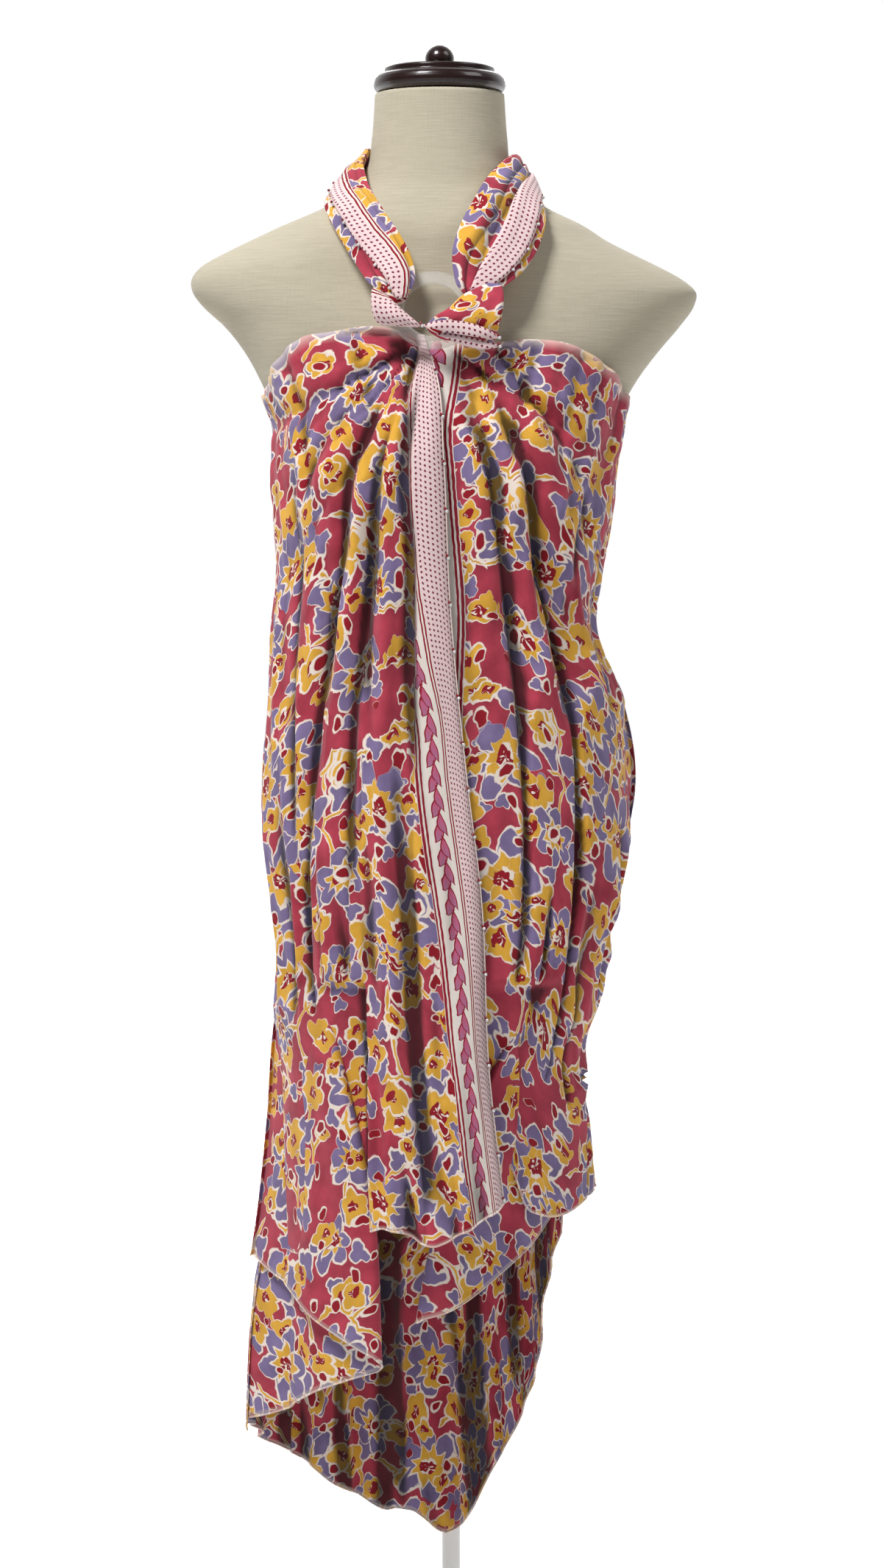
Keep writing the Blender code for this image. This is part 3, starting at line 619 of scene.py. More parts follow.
def through(xs, ys, x):
    """A smooth curve through points that rise in x: cubic pieces whose slopes come from the neighbours."""
    xs = np.asarray(xs, float)
    ys = np.asarray(ys, float)
    slope = np.gradient(ys, xs)
    x = np.clip(x, xs[0], xs[-1])
    i = np.clip(np.searchsorted(xs, x) - 1, 0, len(xs) - 2)
    step = xs[i + 1] - xs[i]
    t = (x - xs[i]) / step
    return (
        (2 * t**3 - 3 * t**2 + 1) * ys[i]
        + (t**3 - 2 * t**2 + t) * step * slope[i]
        + (3 * t**2 - 2 * t**3) * ys[i + 1]
        + (t**3 - t**2) * step * slope[i + 1]
    )


def column(rows, index, x):
    """One column of a table read at x, whose own column is the first."""
    ordered = sorted(rows)
    return through([row[0] for row in ordered], [row[index] for row in ordered], x)


def between_rows(rows, steps):
    """A table's columns read at even steps from row to row, with each reading's place in the table."""
    table = np.asarray(rows, float)
    places = np.arange(len(table))
    fine = np.linspace(0, len(table) - 1, (len(table) - 1) * steps + 1)
    return fine, [through(places, values, fine) for values in table.T]


def half_sizes(sections, z):
    """Half widths to the left and right, and reach to the front and back, at height z."""
    return [column(sections, index, z) for index in (1, 2, 3, 4)]


def bearing_of(x, z):
    """The bearing at which the front half of the wrap has this x."""
    left, right, _, _ = half_sizes(WRAP_SECTIONS, z)
    share = np.clip(np.abs(x) / np.where(x < 0, left, right), 0.0, 1.0)
    return np.sign(x) * np.arcsin(share ** (OVALNESS / 2))


def bust(x, y, z):
    """A round hill on each side of the front: height times e to the minus squared distance over spread."""
    high = np.exp(-(((np.abs(x) - BUST_X) ** 2 + (z - BUST_Z) ** 2) / BUST_SPREAD**2))
    return np.where(y < 0, BUST_RISE * high, 0.0)


def oval_point(sections, z, bearing, outward=0.0):
    """A superellipse of power 2.2 at height z, read at the bearing and moved square to its outline."""
    left, right, front, back = half_sizes(sections, z)
    sine = np.sin(bearing)
    cosine = np.cos(bearing)
    half_x = np.where(sine < 0, left, right)
    half_y = np.where(cosine > 0, front, back)
    x = half_x * powered(sine, 2 / OVALNESS)
    y = -half_y * powered(cosine, 2 / OVALNESS)
    normal_x = sine / half_x
    normal_y = -cosine / half_y
    size = np.hypot(normal_x, normal_y)
    outward = outward + bust(x, y, z)
    return np.stack([x + normal_x / size * outward, y + normal_y / size * outward, z + 0 * x], axis=-1)


def fold_depth(folds, z, bearing, behind=False):
    """The sum over the folds of depth times e to minus a power of the distance over the half width.

    A ridge has the higher power, so troughs are sharp and ridges round."""
    total = np.zeros(np.broadcast(z, bearing).shape)
    for _, half_width, places, depths in folds:
        centre = bearing_of(through(FOLD_HEIGHTS, places, z), z)
        if behind:
            centre = -math.pi - centre
        depth = np.interp(z, FOLD_HEIGHTS, depths)
        arc = np.abs(bearing - centre) * column(WRAP_SECTIONS, 3, z)
        power = np.where(depth > 0, TROUGH_POWER, RIDGE_POWER)
        total -= depth * np.exp(-((arc / half_width) ** power))
    return total


def smooth(x):
    """0 below 0, 1 above 1, and an S between."""
    x = np.clip(x, 0.0, 1.0)
    return x * x * (3 - 2 * x)


def gathers(x, z):
    """Rounded ridges with narrow valleys that fan out from the ring's foot.

    Each row adds the root of |sin(turns times the direction from the foot)|, less that root's mean. They
    rise over the first stretch from the foot and fade with distance."""
    across = x - GATHER_FOOT[0]
    down = GATHER_FOOT[1] - z
    distance = np.hypot(across, down)
    direction = np.arctan2(across, down)
    fade = smooth(distance / GATHER_RISE) * np.exp(-((distance / GATHER_REACH) ** 2))
    total = np.zeros(distance.shape)
    for turns, phase, height in GATHERS:
        total += height * (np.sqrt(np.abs(np.sin(turns * direction + phase))) - MEAN_ROOT_SINE)
    return total * fade


def down_creases(arc, z, strength):
    """Waves across the cloth whose place drifts with height, with flattened tops.

    Each row adds a sine of the distance over its spacing plus the drift, swaying slowly with height."""
    total = np.zeros(np.broadcast(arc, z).shape)
    for spacing, drift, phase, height in DOWN_CREASES:
        sway = CREASE_SWAY * np.sin(z / CREASE_SWAY_HEIGHT + phase)
        wave = np.sin(2 * math.pi * (arc / spacing + drift * z) + phase + sway)
        total += height * powered(wave, CREASE_FLATNESS)
    return total * strength


def kept_off(outward, z, bearing, ply=None):
    """Depths held back softly before they reach the form, or the ply that lies inside.

    The room is the distance between the two outlines, less the least gap, with more below the form's foot,
    and the depth goes over to it as the logarithm of 1 + e to the difference does."""
    gap = oval_point(WRAP_SECTIONS, z, bearing) - oval_point(FORM_SECTIONS, z, bearing)
    room = np.linalg.norm(gap, axis=-1) - FORM_ROOM + FREE_ROOM * smooth((FREE_TOP - z) / FREE_RISE)
    if ply is not None:
        room = room + (np.minimum(room, PLY_ROOM) - room) * ply
    over = np.clip((outward + room) / SOFTNESS, -30.0, 30.0)
    return SOFTNESS * np.log1p(np.exp(over)) - room


def hollowness(outward):
    """How far each place lies below the mean of the columns beside it: a share of a full hollow's depth,
    raised to a power so that shallow creases stay light. The cloth's material darkens each place by it, as
    painted shade in the hollows."""
    window = 2 * HOLLOW_REACH + 1
    padded = np.pad(outward, ((0, 0), (HOLLOW_REACH + 1, HOLLOW_REACH)), mode="edge")
    sums = np.cumsum(padded, axis=1)
    mean = (sums[:, window:] - sums[:, :-window]) / window
    return np.clip((mean - outward) / HOLLOW_DEPTH, 0.0, 1.0) ** HOLLOW_POWER


def crumple(u, v, seed, height):
    """Small random waves in all directions, for cloth that has been folded and worn.

    Each is a sine across its own direction, as high as its spacing, and their sum is scaled to the height."""
    pick = np.random.default_rng(seed)
    total = np.zeros(np.broadcast(u, v).shape)
    for _ in range(CRUMPLE_WAVES):
        turn = pick.uniform(0, math.pi)
        spacing = pick.uniform(*CRUMPLE_SPACINGS)
        phase = pick.uniform(0, 2 * math.pi)
        total += np.sin(2 * math.pi * (u * math.cos(turn) + v * math.sin(turn)) / spacing + phase) * spacing
    return total / np.abs(total).max() * height


def lengths_along(points, axis):
    """Distance along the grid's lines in one direction, from its first point."""
    steps = np.linalg.norm(np.diff(points, axis=axis), axis=-1)
    start = np.zeros_like(np.take(steps, [0], axis=axis))
    return np.concatenate([start, np.cumsum(steps, axis=axis)], axis=axis)


# Meshes


def mesh_object(name, points, faces, material, print_at=None, closed_faces=(), **marks):
    """An object from points in millimetres, with the print's place as its UV map and marks as attributes."""
    mesh = bpy.data.meshes.new(name)
    face_rows = faces.tolist() + [list(face) for face in closed_faces]
    mesh.from_pydata((points.reshape(-1, 3) * MM).tolist(), [], face_rows)
    corner = np.empty(len(mesh.loops), np.int32)
    mesh.loops.foreach_get("vertex_index", corner)
    if print_at is not None:
        layer = mesh.uv_layers.new(name="print")
        layer.data.foreach_set("uv", (print_at.reshape(-1, 2)[corner] * MM).astype(np.float32).ravel())
    for mark, values in marks.items():
        if values is not None:
            attribute = mesh.attributes.new(mark, "FLOAT", "POINT")
            attribute.data.foreach_set("value", values.astype(np.float32).ravel())
    mesh.materials.append(material)
    mesh.update()
    mesh.shade_smooth()
    piece = bpy.data.objects.new(name, mesh)
    bpy.context.scene.collection.objects.link(piece)
    return piece


def grid_faces(rows, columns, wrap=False):
    """Four-cornered faces of a grid, closed round the columns where wrap is set."""
    index = np.arange(rows * columns).reshape(rows, columns)
    if wrap:
        index = np.concatenate([index, index[:, :1]], axis=1)
    corners = (index[:-1, :-1], index[1:, :-1], index[1:, 1:], index[:-1, 1:])
    return np.stack(corners, axis=-1).reshape(-1, 4)


def sheet_object(name, points, print_at, hollow, material, thickness):
    """An open sheet of cloth through a grid of points, with its thickness from Solidify.

    Its last row is marked as hem, and its first three less and less, as thin cloth is pale at an edge."""
    rows, columns = points.shape[:2]
    hem = np.zeros((rows, columns))
    hem[-1] = 1.0
    hem[:3] = np.array(UPPER_EDGE_PALENESS)[:, None]
    piece = mesh_object(name, points, grid_faces(rows, columns), material, print_at, hem=hem, hollow=hollow)
    solid = piece.modifiers.new("Cloth thickness", "SOLIDIFY")
    solid.thickness = thickness
    solid.offset = 0.0
    return piece


def outwards(piece):
    """Turns the faces of a closed mesh so that they point outwards."""
    work = bmesh.new()
    work.from_mesh(piece.data)
    bmesh.ops.recalc_face_normals(work, faces=work.faces)
    work.to_mesh(piece.data)
    work.free()
    piece.data.shade_smooth()
    return piece


def tube_object(name, rings, print_at, material, hem=None, hollow=None):
    """A closed body through rings of points, capped at both ends, with its faces pointing outwards."""
    rows, around = rings.shape[:2]
    index = np.arange(rows * around).reshape(rows, around)
    caps = (index[0][::-1].tolist(), index[-1].tolist())
    faces = grid_faces(rows, around, wrap=True)
    piece = mesh_object(name, rings, faces, material, print_at, caps, hem=hem, hollow=hollow)
    return outwards(piece)


def turned_object(name, profile, base, material, around=96, finer=4):
    """A turned body: the profile's radius and height carried round an upright axis."""
    table = np.asarray(profile, float)
    places = np.linspace(0, len(table) - 1, (len(table) - 1) * finer + 1)
    radius = np.maximum(np.interp(places, np.arange(len(table)), table[:, 0]), 0.0)[1:-1]
    height = np.interp(places, np.arange(len(table)), table[:, 1])[1:-1]
    angle = once_round(around)
    rings = np.stack([
        base[0] + radius[:, None] * np.cos(angle),
        base[1] + radius[:, None] * np.sin(angle),
        base[2] + height[:, None] + 0 * angle,
    ], axis=-1)
    return tube_object(name, rings, None, material)


def rolled_edge(name, path, print_at, material, radius, upright=False):
    """A round profile carried along one edge of a sheet, in the sheet's own print, made paler."""
    ahead = np.gradient(path, axis=0)
    ahead /= np.linalg.norm(ahead, axis=1, keepdims=True)
    side = np.cross(ahead, (0.0, 1.0, 0.0) if upright else (0.0, 0.0, 1.0))
    side /= np.linalg.norm(side, axis=1, keepdims=True)
    up = np.cross(side, ahead)
    angle = once_round(EDGE_SIDES)[..., None]
    rings = path[:, None] + radius * (side[:, None] * np.cos(angle) + up[:, None] * np.sin(angle))
    spread_print = print_at[:, None] + np.zeros((1, EDGE_SIDES, 1))
    return tube_object(name, rings, spread_print, material, np.ones(rings.shape[:2]))


# Forms of the cloth


def panel_points(side, edge_rows, top_rows, hem_rows, columns, rows):
    """Bearing runs evenly from the front edge to the side seam, and height from the upper edge to the hem.

    An edge's height is known by x, which depends on the height, so each step goes half the way there."""
    share = np.linspace(0.0, 1.0, columns)
    seam = side * math.pi / 2

    def bearing_at(z):
        """The bearing of each column at its height."""
        start = bearing_of(column(edge_rows, 1, z), z)
        return start + (seam - start) * share

    def edge_height(edge, z):
        """The height of an edge at each column."""
        for _ in range(SETTLING_STEPS):
            x = oval_point(WRAP_SECTIONS, z, bearing_at(z))[..., 0]
            z = 0.5 * z + 0.5 * column(edge, 1, x)
        return z

    top = edge_height(top_rows, np.full(columns, TOP_GUESS))
    hem = edge_height(hem_rows, np.full(columns, HEM_GUESS))
    z = top + (hem - top) * np.linspace(0.0, 1.0, rows)[:, None]
    return z, bearing_at(z)


def panel_creases(flat, arc, z, seed, shift):
    """Gathers, creases and crumples of a front panel, whose creases grow towards the hem."""
    low = smooth((CREASES_TOP - z) / CREASES_RISE)
    creases = down_creases(arc + shift, z, CREASES_HIGH + CREASES_MORE * low)
    return gathers(flat[..., 0], z) + creases + crumple(arc, z, seed, CRUMPLE_HEIGHT)


def left_front(columns, rows):
    """The upper panel: folds, gathers and creases on the wrap, with its printed edge curled back.

    The curl is a parabola over the edge's first millimetres. On the border the print is squeezed towards the
    groove, by the square of the distance to it, and beyond the groove it runs on with the cloth."""
    z, bearing = panel_points(-1, LEFT_EDGE, LEFT_TOP, LEFT_HEM, columns, rows)
    flat = oval_point(WRAP_SECTIONS, z, bearing)
    arc = lengths_along(flat, 1)
    from_edge = smooth(arc / EDGE_CALM)
    extra = panel_creases(flat, arc, z, 3, 0.0)
    extra = np.where(extra < 0, extra * from_edge, extra * (EDGE_RIDGES + (1 - EDGE_RIDGES) * from_edge))
    at_seam = smooth((arc[:, -1:] - arc) / SEAM_CALM)
    curl = CURL_DEPTH * np.clip(1 - arc / CURL_WIDTH, 0.0, 1.0) ** 2
    outward = fold_depth(LEFT_FOLDS, z, bearing) * FOLD_STRENGTH + extra * at_seam - curl
    shows = column(BORDER_SHOWS, 1, z)
    ends = column(BORDER_SHOWS, 2, z)
    tucked = np.clip((BORDER_WIDTH - ends) / FULL_TUCK, 0.0, 1.0)
    outward = outward - GROOVE_DEPTH * tucked * np.exp(-(((arc - shows) / GROOVE_WIDTH) ** 2))
    over_right = smooth((flat[..., 0] - column(RIGHT_EDGE, 1, z) + 10.0) / 8.0)
    outward = kept_off(outward, z, bearing, over_right)
    points = oval_point(WRAP_SECTIONS, z, bearing, outward)
    arc = lengths_along(points, 1)
    left_over = np.clip(shows - arc, 0.0, None)
    squeeze = np.maximum(ends / shows - 1, 0.0)
    on_border = ends - left_over * (1 + squeeze * left_over / shows)
    across = np.where(arc < shows, on_border, FIELD_START + arc - shows)
    return points, np.stack([across, lengths_along(points, 0)], axis=-1), hollowness(outward)


def under_left_panel(z, bearing):
    """1 where the right front lies inside the left front, 0 where it has come out beyond it."""
    edge = bearing_of(column(LEFT_EDGE, 1, z), z)
    return 1 - smooth((bearing - edge - OVERLAP_START) / OVERLAP_SPAN)


def right_front(columns, rows):
    """The lower panel, which lies inside the upper one as far as that one's edge.

    Its print is laid so that the border's inner double line runs where its table says."""
    z, bearing = panel_points(1, RIGHT_EDGE, RIGHT_TOP, RIGHT_HEM, columns, rows)
    flat = oval_point(WRAP_SECTIONS, z, bearing)
    arc = lengths_along(flat, 1)
    under = under_left_panel(z, bearing)
    extra = panel_creases(flat, arc, z, 5, RIGHT_CREASE_SHIFT)
    at_seam = smooth((arc[:, -1:] - arc) / SEAM_CALM)
    folds = fold_depth(RIGHT_FOLDS, z, bearing) * (1 + (FOLD_STRENGTH - 1) * (1 - under))
    outward = folds - PANEL_PLY * under + extra * (1 - under) * at_seam
    outward = kept_off(outward, z, bearing)
    points = oval_point(WRAP_SECTIONS, z, bearing, outward)
    arc = lengths_along(points, 1)
    line = column(RIGHT_LINE, 1, z[:, :1])
    after = np.clip((points[..., 0] < line).sum(axis=1, keepdims=True), 1, columns - 1)
    x_before, x_after = (np.take_along_axis(points[..., 0], after - step, axis=1) for step in (1, 0))
    arc_before, arc_after = (np.take_along_axis(arc, after - step, axis=1) for step in (1, 0))
    arc_there = arc_before + (arc_after - arc_before) * (line - x_before) / (x_after - x_before)
    across = RIGHT_LINE_PRINT + arc - arc_there
    return points, np.stack([across, lengths_along(points, 0) + 37.0], axis=-1), hollowness(outward)


def pleat_points(side, reach, hem_rows, columns, rows):
    """Round the panel's side edge, in along the outer ply, round the inner fold and back out to the seam.

    Along a row, the bearing goes from the seam (0) to the inner fold (1) and back, and the inset from the
    outer ply (-1) to the inner ply (1), by a half circle at each turn."""
    turn = TURN_COLUMNS
    straight = (columns - 2 * turn) // 2
    outer = np.linspace(0.0, 1.0, straight, endpoint=False)
    half_circle = np.linspace(-math.pi / 2, math.pi / 2, turn)
    none = np.zeros(straight)
    along = np.concatenate([np.zeros(turn), outer, np.ones(turn), outer[::-1]])
    past_fold = np.concatenate([np.zeros(turn), none, np.cos(half_circle), none])
    past_seam = np.concatenate([np.cos(half_circle), none, np.zeros(turn), none])
    across = np.concatenate([-np.ones(turn), none - 1, np.sin(half_circle), none + 1])
    lead_in = np.concatenate([0.5 - 0.5 * np.sin(half_circle), none, np.zeros(turn), none])
    share = np.clip((np.arange(along.size) - turn) / (along.size - turn - 1), 0.0, 1.0)
    hem = column(hem_rows, 1, share)
    z = PLEAT_TOP + (hem - PLEAT_TOP) * np.linspace(0.0, 1.0, rows)[:, None]
    inner = np.radians(column(reach, 1, z))
    near = column(reach, 2, z)
    far = column(reach, 3, z)
    radius = (far - near) / 2
    seam = side * math.pi / 2 - side * SEAM_BACK / MEAN_RADIUS
    bearing = seam + (inner - seam) * along
    bearing = bearing - side * past_fold * radius / MEAN_RADIUS + side * past_seam * SEAM_BULGE / MEAN_RADIUS
    outer_inset = PLY_START + (near - PLY_START) * np.minimum(along * 4, 1.0)
    inner_inset = PLY_INSET + (far - PLY_INSET) * np.minimum(along * 4, 1.0)
    middle = (outer_inset + inner_inset) / 2
    spread = (inner_inset - outer_inset) / 2
    inset = middle + spread * across - lead_in * (PLY_START - PANEL_INSET)
    free = smooth(along * 3)
    wave = np.sin(along * RIPPLE_TURNS + z / RIPPLE_DRIFT)
    ripple = free * smooth((RIPPLE_TOP - z) / RIPPLE_RISE) * wave * RIPPLE_HEIGHT
    points = oval_point(WRAP_SECTIONS, z, bearing, -inset + ripple)
    across_print = lengths_along(points, 1) + 260.0 + 70.0 * side
    return points, np.stack([across_print, lengths_along(points, 0) + 250.0], axis=-1), None


def back_points(columns, rows):
    """The stretch round the back, from just inside one front panel to just inside the other.

    Its upper edge is a parabola between the sides. Above the pleats it lies on the wrap, and beside them it
    goes inside them. Creases are calm at its sides and grow towards the hem."""
    tuck = 0.05
    bearing = np.linspace(-math.pi / 2 + tuck, -1.5 * math.pi - tuck, columns)
    share = np.linspace(-1.0, 1.0, columns)
    sides = BACK_TOP_SIDES[0] + (BACK_TOP_SIDES[1] - BACK_TOP_SIDES[0]) * (share + 1) / 2
    top = BACK_TOP_MIDDLE + (sides - BACK_TOP_MIDDLE) * share**2
    hem = np.full(columns, BACK_HEM_GUESS)
    for _ in range(SETTLING_STEPS):
        x = oval_point(WRAP_SECTIONS, hem, bearing, -PLY_INSET)[..., 0]
        hem = 0.5 * hem + 0.5 * column(BACK_HEM, 1, x)
    z = top + (hem - top) * np.linspace(0.0, 1.0, rows)[:, None]
    inside = np.clip((PLEAT_TOP + 25.0 - z) / 22.0, 0.0, 1.0)
    arc = (-math.pi / 2 - bearing) * MEAN_RADIUS + 0 * z
    at_sides = smooth((np.minimum(arc, arc[:, -1:] - arc) - 4.0) / 25.0)
    low = smooth((1100.0 - z) / 450.0)
    extra = down_creases(arc + 15.0, z, 0.5 + 1.1 * low) + crumple(arc, z, 7, CRUMPLE_HEIGHT)
    past = smooth((np.cos(bearing) + 0.01) / 0.05) * 1.4
    outward = fold_depth(BACK_FOLDS, z, bearing, behind=True) - PLY_INSET * inside + extra * at_sides - past
    points = oval_point(WRAP_SECTIONS, z, bearing, outward)
    print_at = np.stack([lengths_along(points, 1) + 420.0, lengths_along(points, 0) + 90.0], axis=-1)
    return points, print_at, hollowness(outward)


def form_gauge(points):
    """1 on the form's surface, less inside it and more outside."""
    x, y, z = np.moveaxis(points, -1, 0)
    left, right, front, back = half_sizes(FORM_SECTIONS, z)
    across = np.abs(x) / np.where(x < 0, left, right)
    deep = np.abs(y) / np.where(y < 0, front, back)
    return (across**OVALNESS + deep**OVALNESS) ** (1 / OVALNESS)


def form_slope(points):
    """How fast the gauge grows along X, Y and Z."""
    steps = np.eye(3)
    return np.stack([form_gauge(points + step) - form_gauge(points - step) for step in steps], axis=-1) / 2


def lifted(points, clearance):
    """Points nearer to the form than the clearance, moved straight off its surface."""
    for _ in range(4):
        slope = form_slope(points)
        steepness = np.linalg.norm(slope, axis=-1)
        short = np.maximum(0.0, clearance - (form_gauge(points) - 1) / steepness)
        points = points + slope / steepness[..., None] * short[..., None]
    return points


def strap_frame(rows, steps):
    """The middle line of a gathered stretch, with the directions across it and away from the form."""
    fine, (x, y, z, width, thick) = between_rows(rows, steps)
    centre = lifted(np.stack([x, y, z], axis=-1), thick / 2 + FORM_CLEARANCE)
    ahead = np.gradient(centre, axis=0)
    ahead /= np.linalg.norm(ahead, axis=1, keepdims=True)
    away = form_slope(centre)
    away -= ahead * np.sum(away * ahead, axis=1, keepdims=True)
    away /= np.linalg.norm(away, axis=1, keepdims=True)
    sideways = np.cross(ahead, away)
    end = np.minimum(fine, fine[::-1])
    closing = STRAP_END_SIZE + (1 - STRAP_END_SIZE) * np.sqrt(np.minimum(end * 2, 1.0))
    return fine, centre, sideways, away, width, thick, closing


def strap_section(angle, fine, grooves):
    """The section's radius: 1, less a narrow valley at each groove, plus small ripples that twist along it.

    A groove's place is its share of the front, from one side to the other."""
    wide = 0.025 * np.cos(9 * angle + STRAP_TWIST * fine[:, None])
    narrow = 0.015 * np.cos(14 * angle - fine[:, None])
    radius = 1.0 + wide + narrow
    for share, depth in grooves:
        middle = math.acos(1 - 2 * share)
        gap = angle - middle - 0.12 * np.sin(fine[:, None] * 1.1 + share * 7)
        radius = radius - depth * np.exp(-((np.abs(gap) / GROOVE_ANGLE) ** 1.3))
    return radius


def gathered_points(rows, grooves, steps, around):
    """An oval section with valleys along it, carried along the stretch's middle line. Also gives how deep
    each place lies in a valley, which the cloth's material darkens as painted shade.
    """
    fine, centre, sideways, away, width, thick, closing = strap_frame(rows, steps)
    angle = once_round(around)
    section = strap_section(angle, fine, grooves)
    radius = section * closing[:, None]
    across = width[:, None] / 2 * np.cos(angle) * radius
    out = thick[:, None] / 2 * np.sin(angle) * radius
    rings = centre[:, None] + sideways[:, None] * across[..., None] + away[:, None] * out[..., None]
    return lifted(rings, FORM_CLEARANCE), np.clip((0.97 - section) / 0.2, 0.0, 1.0)


def lobe_points(rows, steps, around, ripples):
    """An oval section between the left and the right edge of each row, carried down the table.

    Its thickness swells and narrows with waves across it, which drift as they go down."""
    fine, columns = between_rows(rows, steps)
    left_x, left_z, right_x, right_z, y, thick = (values[:, None] for values in columns)
    end = np.minimum(fine, fine[::-1])[:, None]
    closing = LOBE_END_SIZE + (1 - LOBE_END_SIZE) * np.sqrt(np.minimum(end * 2, 1.0))
    angle = once_round(around)
    cosine = powered(np.cos(angle), 2 / LOBE_OVALNESS)
    sine = powered(np.sin(angle), 2 / LOBE_OVALNESS)
    share = 0.5 - 0.5 * cosine * closing
    swell = 1.0 + 0 * share
    for count, drift, phase, height in ripples:
        swell = swell + height * np.sin(count * share + drift * fine[:, None] + phase)
    return np.stack([
        left_x + (right_x - left_x) * share,
        y - thick / 2 * closing * sine * swell,
        left_z + (right_z - left_z) * share,
    ], axis=-1)


def band_points(rows, grooves, share_range, reach):
    """A flat turned edge of the cloth that lies on the front of a gathered stretch.

    It follows the section between two shares of the front, lifted off it, and its two sides dip back."""
    fine, centre, sideways, away, width, thick, closing = strap_frame(rows, STRAP_STEPS)
    keep = (fine >= reach[0]) & (fine <= reach[1])
    fine, centre, sideways, away = fine[keep], centre[keep], sideways[keep], away[keep]
    width, thick, closing = width[keep], thick[keep], closing[keep]
    start = through((0, 1), share_range[0], (fine - reach[0]) / (reach[1] - reach[0]))
    stop = through((0, 1), share_range[1], (fine - reach[0]) / (reach[1] - reach[0]))
    across_share = np.linspace(0.0, 1.0, BAND_COLUMNS)[None, :]
    share = start[:, None] + (stop - start)[:, None] * across_share
    angle = np.arccos(np.clip(1 - 2 * share, -1.0, 1.0))
    shallow = tuple((place, depth * BAND_GROOVES) for place, depth in grooves)
    radius = strap_section(angle, fine, shallow) * closing[:, None]
    edge = np.minimum(across_share, 1 - across_share)
    rise = BAND_LIFT * (0.25 + 0.75 * smooth(edge / 0.12))
    across = width[:, None] / 2 * np.cos(angle) * radius
    out = thick[:, None] / 2 * np.sin(angle) * radius + rise
    points = centre[:, None] + sideways[:, None] * across[..., None] + away[:, None] * out[..., None]
    return lifted(points, FORM_CLEARANCE + 0.4)


def left_band():
    """The left strap's printed edge, from its outer side at the neck to its inner side at the ring."""
    return band_points(LEFT_STRAP, LEFT_GROOVES, *LEFT_BAND)


def right_band():
    """The right strap's printed edge, with the cloth's own edge at the outer side."""
    return band_points(RIGHT_STRAP, RIGHT_GROOVES, *RIGHT_BAND)


def lip_points(rows, steps, around):
    """A thin oval section, upright, carried along a turned-out edge of cloth that waves a little."""
    fine, columns = between_rows(rows, steps)
    x, y, z, high, thick = (values[:, None] for values in columns)
    angle = once_round(around)
    wave = 0.6 * np.sin(fine[:, None] * 2.4) * np.cos(angle)
    return np.stack([
        x + 0 * angle,
        y - thick / 2 * np.sin(angle) + wave,
        z + high / 2 * np.cos(angle),
    ], axis=-1)


def lengths_on_tube(rings):
    """Distances round a closed body's rings and along its length, for its print."""
    looped = np.concatenate([rings, rings[:, :1]], axis=1)
    return lengths_along(looped, 1)[:, :-1], lengths_along(rings, 0)


# Materials


def output_of(tree, source):
    """A node's output, given as the node alone or as node.output, by name or number."""
    node, _, output = source.partition(".")
    return tree.nodes[node].outputs[int(output) if output.isdigit() else output or 0]


def add(tree, name, kind, settings=None, inputs=None):
    """Adds a node with its settings. An input given as text is linked from that node, or node.output."""
    node = tree.nodes.new(kind)
    node.name = name
    node.label = name.replace("_", " ")
    for key, value in (settings or {}).items():
        setattr(node, key, value)
    for key, value in (inputs or {}).items():
        if isinstance(value, str):
            tree.links.new(output_of(tree, value), node.inputs[key])
        else:
            node.inputs[key].default_value = value
    return name


# Kinds of node, and settings that many of them share
MATH = "ShaderNodeMath"
VECTOR = "ShaderNodeVectorMath"
MIX = "ShaderNodeMix"
SPREAD = "ShaderNodeMapRange"
NOISE = "ShaderNodeTexNoise"
CELLS = "ShaderNodeTexVoronoi"
PARTS = "ShaderNodeSeparateXYZ"
PLACE = "ShaderNodeCombineXYZ"
PLUS = {"operation": "ADD"}
LESS = {"operation": "SUBTRACT"}
TIMES = {"operation": "MULTIPLY"}
OVER = {"operation": "DIVIDE"}
TIMES_PLUS = {"operation": "MULTIPLY_ADD"}
SCALED = {"operation": "SCALE"}
LENGTH = {"operation": "LENGTH"}
FRACTION = {"operation": "FRACT"}
TO_POWER = {"operation": "POWER"}
COLOURS = {"data_type": "RGBA"}
FLAT = {"noise_dimensions": "2D"}


def new_material(name):
    """An empty node material with its shader and output."""
    material = bpy.data.materials.new(name)
    material.use_nodes = True
    tree = material.node_tree
    tree.nodes.clear()
    add(tree, "shader", "ShaderNodeBsdfPrincipled")
    add(tree, "output", "ShaderNodeOutputMaterial", None, {"Surface": "shader.BSDF"})
    return material, tree


def set_shader(tree, **values):
    """Plain values on the shader's own sockets."""
    for key, value in values.items():
        tree.nodes["shader"].inputs[key.replace("_", " ")].default_value = value


def link_to_shader(tree, **sources):
    """Links into the shader's sockets."""
    for key, source in sources.items():
        tree.links.new(output_of(tree, source), tree.nodes["shader"].inputs[key.replace("_", " ")])


